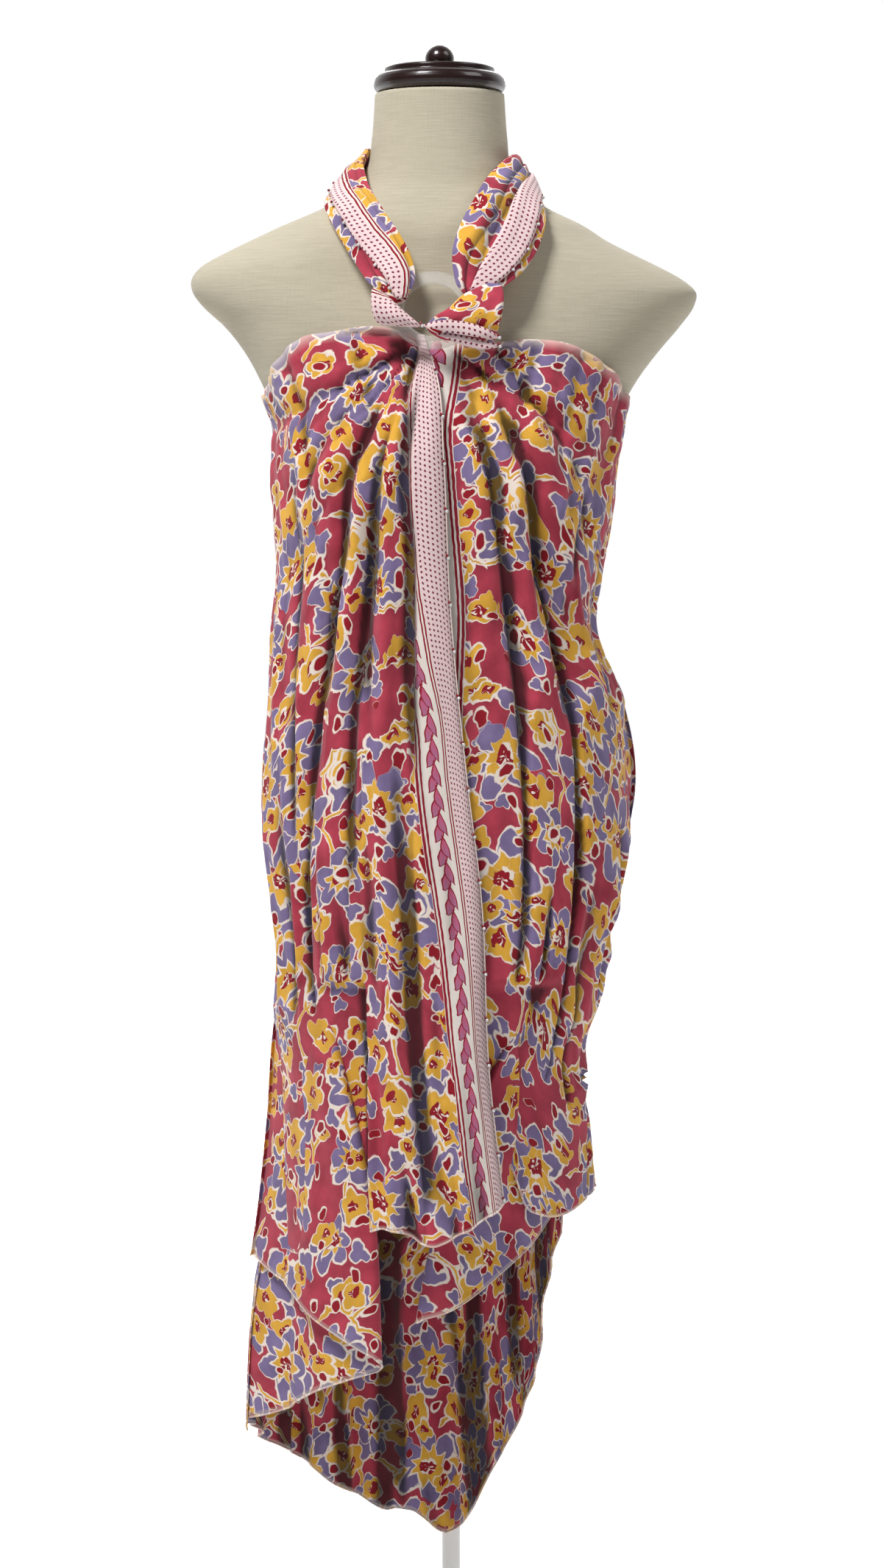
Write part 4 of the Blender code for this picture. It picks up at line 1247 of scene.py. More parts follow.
def distance_to_petal(tree, n, at, spacing, seed, petals, middle, length, width, pointed=False):
    """How far each place lies past the nearest flower's petals, in millimetres.

    Flowers lie one to a cell of a loose scatter. The direction from a flower's middle is folded into one
    petal's sector, and the petal is an oval (or a diamond, where pointed) at the middle distance, whose
    half length and half width are given. Each flower has its own size and turn, each petal its own reach."""
    add(tree, n + "_shift", VECTOR, PLUS, {0: at, 1: (seed * 37.7, seed * 91.3, 0.0)})
    add(tree, n + "_cell", CELLS, {"voronoi_dimensions": "2D", "feature": "F1"},
        {"Vector": n + "_shift", "Scale": 1 / spacing, "Randomness": BLOOM_SCATTER})
    add(tree, n + "_from", VECTOR, LESS, {0: n + "_shift", 1: n + "_cell.Position"})
    add(tree, n + "_parts", PARTS, None, {0: n + "_from"})
    add(tree, n + "_chance", "ShaderNodeSeparateColor", None, {0: n + "_cell.Color"})
    add(tree, n + "_length", VECTOR, LENGTH, {0: n + "_from"})
    add(tree, n + "_size", MATH, TIMES_PLUS, {0: n + "_chance.1", 1: BLOOM_SIZES[1], 2: BLOOM_SIZES[0]})
    add(tree, n + "_far", MATH, OVER, {0: n + "_length.Value", 1: n + "_size"})
    add(tree, n + "_direction", MATH, {"operation": "ARCTAN2"}, {0: n + "_parts.1", 1: n + "_parts.0"})
    add(tree, n + "_turned", MATH, TIMES_PLUS,
        {0: n + "_direction", 1: 0.5 / math.pi, 2: n + "_chance.0"})
    add(tree, n + "_whole", MATH, FRACTION, {0: n + "_turned"})
    add(tree, n + "_count", MATH, TIMES, {0: n + "_whole", 1: float(petals)})
    add(tree, n + "_number", MATH, {"operation": "FLOOR"}, {0: n + "_count"})
    add(tree, n + "_part", MATH, FRACTION, {0: n + "_count"})
    add(tree, n + "_angle", MATH, TIMES_PLUS,
        {0: n + "_part", 1: 2 * math.pi / petals, 2: -math.pi / petals})
    add(tree, n + "_cosine", MATH, {"operation": "COSINE"}, {0: n + "_angle"})
    add(tree, n + "_sine", MATH, {"operation": "SINE"}, {0: n + "_angle"})
    add(tree, n + "_along", MATH, TIMES, {0: n + "_far", 1: n + "_cosine"})
    add(tree, n + "_aside", MATH, TIMES, {0: n + "_far", 1: n + "_sine"})
    add(tree, n + "_seed", MATH, TIMES_PLUS, {0: n + "_chance.2", 1: 57.0, 2: n + "_number"})
    add(tree, n + "_own", "ShaderNodeTexWhiteNoise", {"noise_dimensions": "1D"}, {"W": n + "_seed"})
    add(tree, n + "_middle", MATH, TIMES_PLUS,
        {0: n + "_own.0", 1: middle * PETAL_REACHES[1], 2: middle * PETAL_REACHES[0]})
    add(tree, n + "_beyond", MATH, LESS, {0: n + "_along", 1: n + "_middle"})
    add(tree, n + "_place", PLACE, None, {0: n + "_beyond", 1: n + "_aside"})
    add(tree, n + "_scaled", VECTOR, TIMES, {0: n + "_place", 1: (1 / length, 1 / width, 0.0)})
    if pointed:
        add(tree, n + "_sides", VECTOR, {"operation": "ABSOLUTE"}, {0: n + "_scaled"})
        add(tree, n + "_gauge", VECTOR, {"operation": "DOT_PRODUCT"}, {0: n + "_sides", 1: (1.0, 1.0, 0.0)})
    else:
        add(tree, n + "_gauge", VECTOR, LENGTH, {0: n + "_scaled"})
    add(tree, n + "_past", MATH, TIMES_PLUS, {0: n + "_gauge.Value", 1: width, 2: -width})
    return n + "_past"


def inked(tree, n, under, past, fill, outline):
    """A dyed shape over what is under it, with an undyed rim whose width wanders from 0 to about 2.4 mm."""
    add(tree, n + "_rim_past", MATH, LESS, {0: past, 1: "rim_width"})
    for part, distance in (("_rim", n + "_rim_past"), ("_inside", past)):
        add(tree, n + part, SPREAD, None,
            {"Value": distance, "From Min": DYE_SOFTNESS, "From Max": -DYE_SOFTNESS})
    add(tree, n + "_outlined", MIX, COLOURS, {0: n + "_rim", 6: under, 7: outline})
    add(tree, n + "_filled", MIX, COLOURS, {0: n + "_inside", 6: n + "_outlined.2", 7: fill})
    return n + "_filled.2"


def speckled_heart(tree, n, under, flower, radius, shift, specks, crimson, cream):
    """A ragged crimson heart near the middle of a layer's flowers, with pale seeds that point outwards."""
    add(tree, n + "_off", VECTOR, PLUS, {0: flower + "_from", 1: shift})
    add(tree, n + "_length", VECTOR, LENGTH, {0: n + "_off"})
    add(tree, n + "_ragged", MATH, TIMES_PLUS,
        {0: "wander_fine.0", 1: HEART_RAGGED, 2: radius - HEART_RAGGED / 2})
    add(tree, n + "_past", MATH, LESS, {0: n + "_length.Value", 1: n + "_ragged"})
    add(tree, n + "_seed_turn", MATH, TIMES, {0: flower + "_turned", 1: SEEDS_ROUND})
    add(tree, n + "_seed_far", MATH, TIMES, {0: n + "_length.Value", 1: SEEDS_OUTWARDS})
    add(tree, n + "_seed_place", PLACE, None, {0: n + "_seed_turn", 1: n + "_seed_far"})
    add(tree, n + "_seeds", NOISE, FLAT, {"Vector": n + "_seed_place", "Scale": 1.0, "Detail": 0.0})
    add(tree, n + "_speck", SPREAD, None,
        {"Value": n + "_seeds.0", "From Min": specks, "From Max": specks + 0.05})
    add(tree, n + "_colour", MIX, COLOURS, {0: n + "_speck", 6: crimson, 7: cream})
    add(tree, n + "_inside", SPREAD, None,
        {"Value": n + "_past", "From Min": DYE_SOFTNESS, "From Max": -DYE_SOFTNESS})
    add(tree, n + "_mixed", MIX, COLOURS, {0: n + "_inside", 6: under, 7: n + "_colour.2"})
    return n + "_mixed.2"


def printed_voile(colours):
    """Cotton voile, plain-woven and block-printed: a soft matt cloth with a faint sheen at grazing angles.

    Dye lies in flat patches with pale rims where the blocks don't quite meet, and it is paler and darker by
    turns as hand-printed dye is. Threads are about 0.3 mm apart; the weave is drawn at 0.9 mm to show."""
    material, tree = new_material("Block-printed cotton voile")
    cream = (*colours.outline, 1.0)
    crimson = (*colours.heart, 1.0)
    add(tree, "cloth_map", "ShaderNodeUVMap", {"uv_map": "print"})
    add(tree, "place_mm", VECTOR, SCALED, {0: "cloth_map", "Scale": 1000.0})
    at = "place_mm"
    for name, spacing, reach in WANDERS:
        add(tree, name, NOISE, FLAT, {"Vector": "place_mm", "Scale": 1 / spacing, "Detail": 0.4})
        add(tree, name + "_centred", VECTOR, LESS, {0: name + ".Color", 1: (0.5, 0.5, 0.5)})
        add(tree, name + "_moved", VECTOR, TIMES_PLUS,
            {0: name + "_centred", 1: (reach, reach, 0.0), 2: at})
        at = name + "_moved"
    add(tree, "rim_width", MATH, TIMES_PLUS, {0: "wander_wide.0", 1: RIM_SPREAD, 2: RIM_LESS})
    add(tree, "dye_noise", NOISE, FLAT, {"Vector": "place_mm", "Scale": 1 / 24, "Detail": 4.0})
    for dye, amount in DYE_SPREADS:
        colour = np.array(getattr(colours, dye))
        light = (*np.minimum(colour * (1 + amount) + 0.02, 1.0), 1.0)
        dark = (*(colour * (1 - amount)), 1.0)
        add(tree, dye + "_dye", MIX, COLOURS, {0: "dye_noise.0", 6: dark, 7: light})

    add(tree, "stem_lines", CELLS, {"voronoi_dimensions": "2D", "feature": "DISTANCE_TO_EDGE"},
        {"Vector": at, "Scale": 1 / STEM_SPACING, "Randomness": 1.0})
    add(tree, "stem_far", MATH, TIMES, {0: "stem_lines.Distance", 1: STEM_SPACING})
    add(tree, "stem_zone", NOISE, FLAT, {"Vector": "place_mm", "Scale": 1 / 48, "Detail": 0.0})
    add(tree, "stem_half", SPREAD, None,
        {"Value": "stem_zone.0", "From Min": 0.42, "From Max": 0.54, "To Min": -4.0, "To Max": 1.3})
    add(tree, "stem_past", MATH, LESS, {0: "stem_far", 1: "stem_half"})
    colour = inked(tree, "stem", "ground_dye.2", "stem_past", "flower_dye.2", cream)
    for name, dye, spacing, seed, petals, middle, length, width in BLOOMS:
        fill = crimson if dye == "heart" else dye + "_dye.2"
        past = distance_to_petal(tree, name, at, spacing, seed, petals, middle, length, width, name == "star")
        colour = inked(tree, name, colour, past, fill, cream)
        if name in HEARTS:
            colour = speckled_heart(tree, name + "_heart", colour, name, *HEARTS[name], crimson, cream)

    colour = printed_border(tree, colour, colours)
    for axis in ("X", "Y"):
        add(tree, "weave_" + axis, "ShaderNodeTexWave", {"wave_type": "BANDS", "bands_direction": axis},
            {"Vector": "place_mm", "Scale": 0.35, "Distortion": 0.6, "Detail": 1.0})
    add(tree, "weave", MATH, TIMES, {0: "weave_X.1", 1: "weave_Y.1"})
    # Places marked as hollow, in the folds and in the straps' valleys, are drawn darker: painted shade
    add(tree, "in_hollow", "ShaderNodeAttribute", {"attribute_name": "hollow"})
    add(tree, "thread_light", SPREAD, None, {"Value": "weave", "To Min": 0.93, "To Max": 1.05})
    add(tree, "layered", MATH, TIMES_PLUS, {0: "in_hollow.Fac", 1: HOLLOW_SHADE, 2: 1.0})
    add(tree, "thread_shade", MATH, TIMES, {0: "thread_light.0", 1: "layered"})
    add(tree, "woven", VECTOR, SCALED, {0: colour, "Scale": "thread_shade"})
    add(tree, "at_hem", "ShaderNodeAttribute", {"attribute_name": "hem"})
    add(tree, "hem_paleness", MATH, TIMES, {0: "at_hem.Fac", 1: HEM_PALENESS})
    add(tree, "hemmed", MIX, COLOURS, {0: "hem_paleness", 6: "woven", 7: cream})
    add(tree, "bump", "ShaderNodeBump", None, {"Strength": 0.25, "Distance": 0.0003, "Height": "weave"})
    set_shader(tree, Roughness=0.86, Sheen_Weight=0.12, Sheen_Roughness=0.5, Specular_IOR_Level=0.25)
    link_to_shader(tree, Base_Color="hemmed.2", Normal="bump")
    return material


def printed_border(tree, field, colours):
    """The border along the cloth's short edge, laid out by the distance from that edge in millimetres.

    0 to 30 is dotted at 4.2 mm, then a double line, white, a chain of hooked leaves 19.5 mm long, white and
    another double line. The flowered field starts at 68. Each leaf is a band about a line that leans out and
    then hooks, and its half width is a sine that peaks below the middle."""
    white = (*colours.border_white, 1.0)
    red = (*colours.border_red, 1.0)
    pink = (*colours.border_pink, 1.0)
    add(tree, "on_cloth", PARTS, None, {0: "place_mm"})
    add(tree, "unsteady", MATH, TIMES_PLUS, {0: "wander_fine.0", 1: 0.8, 2: -0.4})
    add(tree, "across", MATH, PLUS, {0: "on_cloth.0", 1: "unsteady"})
    add(tree, "band_place", MATH, OVER, {0: "across", 1: 100.0})
    add(tree, "bands", "ShaderNodeValToRGB", None, {0: "band_place"})
    ramp = tree.nodes["bands"].color_ramp
    ramp.interpolation = "CONSTANT"
    stops = (
        (0.0, pink), (30.0, white), (30.8, red), (32.3, white), (33.7, red), (35.2, white),
        (61.0, red), (63.0, white), (64.7, red), (66.8, white),
    )
    while len(ramp.elements) < len(stops):
        ramp.elements.new(1.0)
    for element, (place, colour) in zip(ramp.elements, stops):
        element.position = place / 100.0
        element.color = colour
    for axis, source in (("x", "on_cloth.0"), ("y", "on_cloth.1")):
        add(tree, "dot_count_" + axis, MATH, OVER, {0: source, 1: DOT_PITCH})
        add(tree, "dot_part_" + axis, MATH, FRACTION, {0: "dot_count_" + axis})
        add(tree, "dot_off_" + axis, MATH, LESS, {0: "dot_part_" + axis, 1: 0.5})
        add(tree, "dot_square_" + axis, MATH, TO_POWER, {0: "dot_off_" + axis, 1: 2.0})
    add(tree, "dot_far", MATH, PLUS, {0: "dot_square_x", 1: "dot_square_y"})
    add(tree, "dot_inside", SPREAD, None, {"Value": "dot_far", "From Min": 0.072, "From Max": 0.04})
    add(tree, "dot_zone", MATH, {"operation": "LESS_THAN"}, {0: "across", 1: 29.6})
    add(tree, "dot_mask", MATH, TIMES, {0: "dot_inside", 1: "dot_zone"})
    add(tree, "dotted", MIX, COLOURS, {0: "dot_mask", 6: "bands.0", 7: (*colours.border_dot, 1.0)})
    colour = "dotted.2"
    for n, sign, start in (("leaf_left", 1.0, 0.0), ("leaf_right", -1.0, 0.35)):
        add(tree, n + "_count", MATH, TIMES_PLUS, {0: "on_cloth.1", 1: 1 / LEAF_PITCH, 2: start})
        add(tree, n + "_along", MATH, FRACTION, {0: n + "_count"})
        add(tree, n + "_late", MATH, TO_POWER, {0: n + "_along", 1: 7.0})
        add(tree, n + "_hook", MATH, TIMES, {0: n + "_late", 1: sign * 4.8})
        add(tree, n + "_lean", MATH, TIMES_PLUS, {0: n + "_along", 1: sign * 2.6, 2: n + "_hook"})
        add(tree, n + "_middle", MATH, PLUS, {0: n + "_lean", 1: LEAF_MIDDLE + sign * 0.4})
        add(tree, n + "_off", MATH, LESS, {0: "across", 1: n + "_middle"})
        add(tree, n + "_far", MATH, {"operation": "ABSOLUTE"}, {0: n + "_off"})
        add(tree, n + "_slow", MATH, TO_POWER, {0: n + "_along", 1: 1.35})
        add(tree, n + "_arch", MATH, TIMES, {0: n + "_slow", 1: math.pi})
        add(tree, n + "_sine", MATH, {"operation": "SINE"}, {0: n + "_arch"})
        add(tree, n + "_half", MATH, TIMES, {0: n + "_sine", 1: 5.0})
        add(tree, n + "_shade", MIX, COLOURS,
            {0: n + "_along", 6: (*colours.border_stalk, 1.0), 7: (*colours.border_leaf, 1.0)})
        add(tree, n + "_past", MATH, LESS, {0: n + "_far", 1: n + "_half"})
        add(tree, n + "_rim", SPREAD, None, {"Value": n + "_past", "From Min": 0.5, "From Max": 0.2})
        add(tree, n + "_inside", SPREAD, None, {"Value": n + "_past", "From Min": -1.0, "From Max": -1.3})
        add(tree, n + "_lined", MIX, COLOURS, {0: n + "_rim", 6: colour, 7: red})
        add(tree, n + "_filled", MIX, COLOURS, {0: n + "_inside", 6: n + "_lined.2", 7: n + "_shade.2"})
        colour = n + "_filled.2"
    add(tree, "field_zone", MATH, {"operation": "GREATER_THAN"}, {0: "across", 1: 68.0})
    add(tree, "with_border", MIX, COLOURS, {0: "field_zone", 6: colour, 7: field})
    return "with_border.2"


def woven_linen(colour):
    """Unbleached linen stretched over the form: plain-woven, matt, with slubs that run across.

    Threads are about 0.7 mm apart, drawn at 1.2 mm so that they show."""
    material, tree = new_material("Stretched linen cover")
    add(tree, "place", "ShaderNodeTexCoord")
    add(tree, "in_mm", VECTOR, SCALED, {0: "place.Object", "Scale": 1000.0})
    add(tree, "slub_place", VECTOR, TIMES, {0: "in_mm", 1: (0.05, 0.05, 0.9)})
    add(tree, "slubs", NOISE, None, {"Vector": "slub_place", "Scale": 1.0, "Detail": 3.0})
    add(tree, "down_place", VECTOR, TIMES, {0: "in_mm", 1: (0.9, 0.9, 0.05)})
    add(tree, "down_threads", NOISE, None, {"Vector": "down_place", "Scale": 1.0, "Detail": 3.0})
    add(tree, "blotches", NOISE, None, {"Vector": "in_mm", "Scale": 1 / 60, "Detail": 3.0})
    add(tree, "weave", MATH, TIMES_PLUS, {0: "down_threads.0", 1: 0.5, 2: "slubs.0"})
    base = np.array(colour)
    add(tree, "thread_colour", MIX, COLOURS,
        {0: "weave", 6: (*(base * 0.82), 1.0), 7: (*np.minimum(base * 1.13, 1.0), 1.0)})
    add(tree, "aged", SPREAD, None, {"Value": "blotches.0", "To Min": 0.93, "To Max": 1.06})
    add(tree, "cover", VECTOR, SCALED, {0: "thread_colour.2", "Scale": "aged"})
    add(tree, "bump", "ShaderNodeBump", None, {"Strength": 0.5, "Distance": 0.0004, "Height": "weave"})
    set_shader(tree, Roughness=0.9, Sheen_Weight=0.1, Specular_IOR_Level=0.25)
    link_to_shader(tree, Base_Color="cover", Normal="bump")
    return material


def lacquered_wood(colour):
    """Turned hardwood under near-black lacquer: faint grain and a wet gloss."""
    material, tree = new_material("Dark lacquered turned wood")
    add(tree, "place", "ShaderNodeTexCoord")
    add(tree, "grain_place", VECTOR, TIMES, {0: "place.Object", 1: (260.0, 260.0, 900.0)})
    add(tree, "grain", NOISE, None, {"Vector": "grain_place", "Scale": 1.0, "Detail": 4.0, "Distortion": 0.6})
    base = np.array(colour)
    add(tree, "wood", MIX, COLOURS,
        {0: "grain.0", 6: (*(base * 0.7), 1.0), 7: (*(base * 1.7), 1.0)})
    add(tree, "polish", SPREAD, None, {"Value": "grain.0", "To Min": 0.22, "To Max": 0.34})
    add(tree, "bump", "ShaderNodeBump", None, {"Strength": 0.08, "Distance": 0.0003, "Height": "grain.0"})
    set_shader(tree, Coat_Weight=0.6, Coat_Roughness=0.1, Specular_IOR_Level=0.35)
    link_to_shader(tree, Base_Color="wood.2", Roughness="polish", Normal="bump")
    return material


def clear_resin():
    """Cast clear resin: see-through, with a sharp gloss and a faint haze from handling."""
    material, tree = new_material("Cast clear resin")
    add(tree, "place", "ShaderNodeTexCoord")
    add(tree, "handling", NOISE, None, {"Vector": "place.Object", "Scale": 240.0, "Detail": 4.0})
    add(tree, "tint", MIX, COLOURS,
        {0: "handling.0", 6: (0.62, 0.61, 0.58, 1.0), 7: (0.8, 0.79, 0.76, 1.0)})
    set_shader(tree, Roughness=0.04, Alpha=0.26, IOR=1.6, Coat_Weight=1.0, Coat_Roughness=0.03)
    link_to_shader(tree, Base_Color="tint.2")
    return material


def white_powder_coat(colour):
    """Powder-coated steel: an even off-white skin with fine orange peel."""
    material, tree = new_material("White powder-coated steel")
    add(tree, "place", "ShaderNodeTexCoord")
    add(tree, "peel", NOISE, None, {"Vector": "place.Object", "Scale": 900.0, "Detail": 2.0})
    add(tree, "dust", NOISE, None, {"Vector": "place.Object", "Scale": 14.0, "Detail": 3.0})
    base = np.array(colour)
    add(tree, "skin", MIX, COLOURS, {0: "dust.0", 6: (*(base * 0.94), 1.0), 7: (*base, 1.0)})
    add(tree, "bump", "ShaderNodeBump", None, {"Strength": 0.15, "Distance": 0.0002, "Height": "peel.0"})
    set_shader(tree, Roughness=0.42)
    link_to_shader(tree, Base_Color="skin.2", Normal="bump")
    return material


def pearl_glass(colour):
    """Small glass beads with a silvery lustre: very glossy, so each one catches a highlight."""
    material, tree = new_material("Silver-lined glass beads")
    add(tree, "place", "ShaderNodeTexCoord")
    add(tree, "tint", NOISE, None, {"Vector": "place.Object", "Scale": 160.0, "Detail": 1.0})
    base = np.array(colour)
    add(tree, "glass", MIX, COLOURS, {0: "tint.0", 6: (*(base * 0.75), 1.0), 7: (*base, 1.0)})
    set_shader(tree, Roughness=0.12, Metallic=0.35)
    link_to_shader(tree, Base_Color="glass.2")
    return material


def red_glass(colour):
    """Small see-through red glass beads: dark, glossy, with a point of light on each."""
    material, tree = new_material("Red glass beads")
    add(tree, "place", "ShaderNodeTexCoord")
    add(tree, "tint", NOISE, None, {"Vector": "place.Object", "Scale": 160.0, "Detail": 1.0})
    base = np.array(colour)
    add(tree, "glass", MIX, COLOURS, {0: "tint.0", 6: (*(base * 0.5), 1.0), 7: (*base, 1.0)})
    set_shader(tree, Roughness=0.1, Coat_Weight=0.6, Coat_Roughness=0.05)
    link_to_shader(tree, Base_Color="glass.2")
    return material


# Settings


def colour_property(name, description, hexes):
    """A colour that the user may change, given as sRGB hex."""
    return FloatVectorProperty(name=name, description=description, subtype="COLOR", size=3, min=0.0, max=1.0,
                               default=linear(hexes))


class SarongColours(PropertyGroup):
    """Colours of the print and of what the cloth hangs on."""

    ground: colour_property("Ground", "Rose dye between the flowers", "#AB3146")
    petal: colour_property("Petals", "Lavender dye of the large petals and leaves", "#7A6A94")
    flower: colour_property("Flowers", "Yellow dye of the small flowers and stems", "#DCA534")
    heart: colour_property("Hearts", "Crimson dye of the hearts and buds", "#930F21")
    outline: colour_property("Outlines", "Undyed cloth round each shape", "#F0E1D5")
    border_pink: colour_property("Dotted band", "Pale ground of the dotted band", "#E6CBCB")
    border_dot: colour_property("Dots", "Dots of the band", "#7C2A42")
    border_white: colour_property("Border ground", "Undyed cloth of the border", "#E2D8D0")
    border_red: colour_property("Lines", "Lines and leaf outlines of the border", "#8E1228")
    border_stalk: colour_property("Leaf stalks", "Upper part of the border's leaves", "#C9486C")
    border_leaf: colour_property("Leaf tips", "Lower part of the border's leaves", "#A2708F")
    linen: colour_property("Linen", "Cover of the form", "#B4AC98")
    wood: colour_property("Wood", "Lacquer of the cap", "#1E0E0B")
    steel: colour_property("Steel", "Coat of the stand", "#F2F1EE")
    bead: colour_property("Beads", "Lustre of the beads", "#EDEAEA")


class SarongCloth(PropertyGroup):
    """Sizes of the cloth."""

    thickness: FloatProperty(name="Thickness", description="Thickness of the voile as it is shown",
                             default=0.0006, min=0.0003, max=0.002, unit="LENGTH", subtype="DISTANCE")
    panel_columns: IntProperty(name="Columns", description="Grid columns across a front panel",
                               default=150, min=40, max=170)
    panel_rows: IntProperty(name="Rows", description="Grid rows down a front panel",
                            default=250, min=60, max=280)
    bead_pitch: FloatProperty(name="Bead spacing", description="Distance between beads along the edge",
                              default=0.036, min=0.01, max=0.1, unit="LENGTH", subtype="DISTANCE")
    strap_bead_pitch: FloatProperty(name="Strap bead spacing", description="Distance between a strap's beads",
                                    default=0.024, min=0.01, max=0.1, unit="LENGTH", subtype="DISTANCE")
    bead_radius: FloatProperty(name="Bead radius", description="Radius of a bead",
                               default=0.0014, min=0.0005, max=0.004, unit="LENGTH", subtype="DISTANCE")


class SarongStage(PropertyGroup):
    """Light and floor of the studio."""

    floor_colour: colour_property("Floor", "Paper under the form", "#FFFFFF")
    key_power: FloatProperty(name="Main light", description="Power of the large light at the front",
                             default=115.0, min=0.0, max=500.0, subtype="POWER")
    side_power: FloatProperty(name="Side light", description="Power of the light at the viewer's right",
                              default=19.0, min=0.0, max=500.0, subtype="POWER")
    surround: FloatProperty(name="Surround", description="Strength of the even light from all round",
                            default=0.13, min=0.0, max=3.0)


# Operators

SHARED_MATERIALS = {}


def settle(piece, nodes):
    """A piece rides on the root body and stands for its nodes."""
    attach(piece, "root")
    if nodes:
        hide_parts(*nodes)
    return piece


def hemmed(name, points, print_at, material, front_edge=False):
    """The rolled hem along a sheet's last row, and along its first column where that is the short edge."""
    hems = [settle(rolled_edge(name + "_hem", points[-1], print_at[-1], material, HEM_RADIUS), [])]
    if front_edge:
        edge = rolled_edge(name + "_edge", points[6:, 0], print_at[6:, 0], material, EDGE_RADIUS, True)
        hems.append(settle(edge, []))
    return hems


def shared_material(key, make, *values):
    """A material that several operators use is made once."""
    if key not in SHARED_MATERIALS:
        SHARED_MATERIALS[key] = make(*values)
    return SHARED_MATERIALS[key]


class SARONG_OT_form(Operator):
    """Makes the linen-covered body of the form"""

    bl_idname = "sarong.form"
    bl_label = "Dress form"

    def execute(self, context):
        heights = np.concatenate([
            np.linspace(FORM_SECTIONS[0][0], 1400.0, 70, endpoint=False),
            np.linspace(1400.0, 880.0, 70, endpoint=False),
            np.linspace(880.0, FORM_SECTIONS[-1][0], 6),
        ])
        bearings = np.linspace(0, -2 * math.pi, 144, endpoint=False)
        z, bearing = np.meshgrid(heights, bearings, indexing="ij")
        rings = oval_point(FORM_SECTIONS, z, bearing)
        linen = shared_material("linen", woven_linen, context.scene.sarong_colours.linen)
        settle(tube_object("linen_body", rings, None, linen), ["form_torso"])
        return {"FINISHED"}


class SARONG_OT_cap(Operator):
    """Makes the turned cap and its knob"""

    bl_idname = "sarong.cap"
    bl_label = "Cap and knob"

    def execute(self, context):
        wood = shared_material("wood", lacquered_wood, context.scene.sarong_colours.wood)
        cap = turned_object("turned_cap", CAP_PROFILE, (0, NECK_AXIS_Y, CAP_BOTTOM), wood)
        settle(cap, ["neck_cap"])
        knob = turned_object("turned_knob", KNOB_PROFILE, (0, NECK_AXIS_Y, KNOB_BOTTOM), wood)
        settle(knob, ["cap_knob"])
        return {"FINISHED"}


class SARONG_OT_stand(Operator):
    """Finishes the stand's own nodes with a powder coat"""

    bl_idname = "sarong.stand"
    bl_label = "Stand"

    def execute(self, context):
        coat = shared_material("coat", white_powder_coat, context.scene.sarong_colours.steel)
        for node in ("base_plate", "stand_pole", "stand_arm", "back_flange"):
            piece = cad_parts[node]
            piece.data.materials.clear()
            piece.data.materials.append(coat)
        return {"FINISHED"}


class SARONG_OT_ring(Operator):
    """Makes the clear ring that the corners pass"""

    bl_idname = "sarong.ring"
    bl_label = "Ring"

    def execute(self, context):
        around = once_round(128).T
        section = once_round(24)
        middle = (RING_OUTER + RING_INNER) / 2
        half = (RING_OUTER - RING_INNER) / 2
        reach = middle + half * powered(np.cos(section), RING_ROUNDNESS)
        deep = RING_DEPTH / 2 * powered(np.sin(section), RING_ROUNDNESS) + 0 * around
        across = reach * np.cos(around)
        up = reach * np.sin(around)
        lean_sine, lean_cosine = math.sin(RING_LEAN), math.cos(RING_LEAN)
        points = np.stack([
            RING_CENTRE[0] + across,
            RING_CENTRE[1] + up * lean_sine - deep * lean_cosine,
            RING_CENTRE[2] + up * lean_cosine + deep * lean_sine,
        ], axis=-1)
        index = np.arange(points.shape[0] * points.shape[1]).reshape(points.shape[:2])
        index = np.concatenate([index, index[:1]], axis=0)
        index = np.concatenate([index, index[:, :1]], axis=1)
        corners = (index[:-1, :-1], index[:-1, 1:], index[1:, 1:], index[1:, :-1])
        faces = np.stack(corners, axis=-1).reshape(-1, 4)
        ring = mesh_object("clear_band_ring", points, faces, shared_material("resin", clear_resin))
        settle(outwards(ring), ["ring"])
        return {"FINISHED"}


class SARONG_OT_fronts(Operator):
    """Makes the two front panels"""

    bl_idname = "sarong.fronts"
    bl_label = "Front panels"

    def execute(self, context):
        cloth = context.scene.sarong_cloth
        voile = shared_material("voile", printed_voile, context.scene.sarong_colours)
        for name, node, make, flat in (
            ("left_front_cloth", "sarong_left_front", left_front, (0.235, 0.72)),
            ("right_front_cloth", "sarong_right_front", right_front, (0.225, 0.68)),
        ):
            points, print_at, hollow = make(cloth.panel_columns, cloth.panel_rows)
            piece = sheet_object(name, points, print_at, hollow, voile, cloth.thickness)
            settle(piece, [node])
            hems = hemmed(name, points, print_at, voile, True)
        return {"FINISHED"}


class SARONG_OT_pleats(Operator):
    """Makes the plies turned in at each side"""

    bl_idname = "sarong.pleats"
    bl_label = "Side pleats"

    def execute(self, context):
        cloth = context.scene.sarong_cloth
        voile = shared_material("voile", printed_voile, context.scene.sarong_colours)
        for name, node, side, reach, hem, flat in (
            ("left_pleat_cloth", "sarong_left_pleat", -1, LEFT_PLEAT_REACH, LEFT_PLEAT_HEM, (0.22, 0.6)),
            ("right_pleat_cloth", "sarong_right_pleat", 1, RIGHT_PLEAT_REACH, RIGHT_PLEAT_HEM, (0.24, 0.5)),
        ):
            points, print_at, hollow = pleat_points(side, reach, hem, 150, 130)
            piece = sheet_object(name, points, print_at, hollow, voile, cloth.thickness)
            settle(piece, [node])
            hems = hemmed(name, points, print_at, voile)
        return {"FINISHED"}


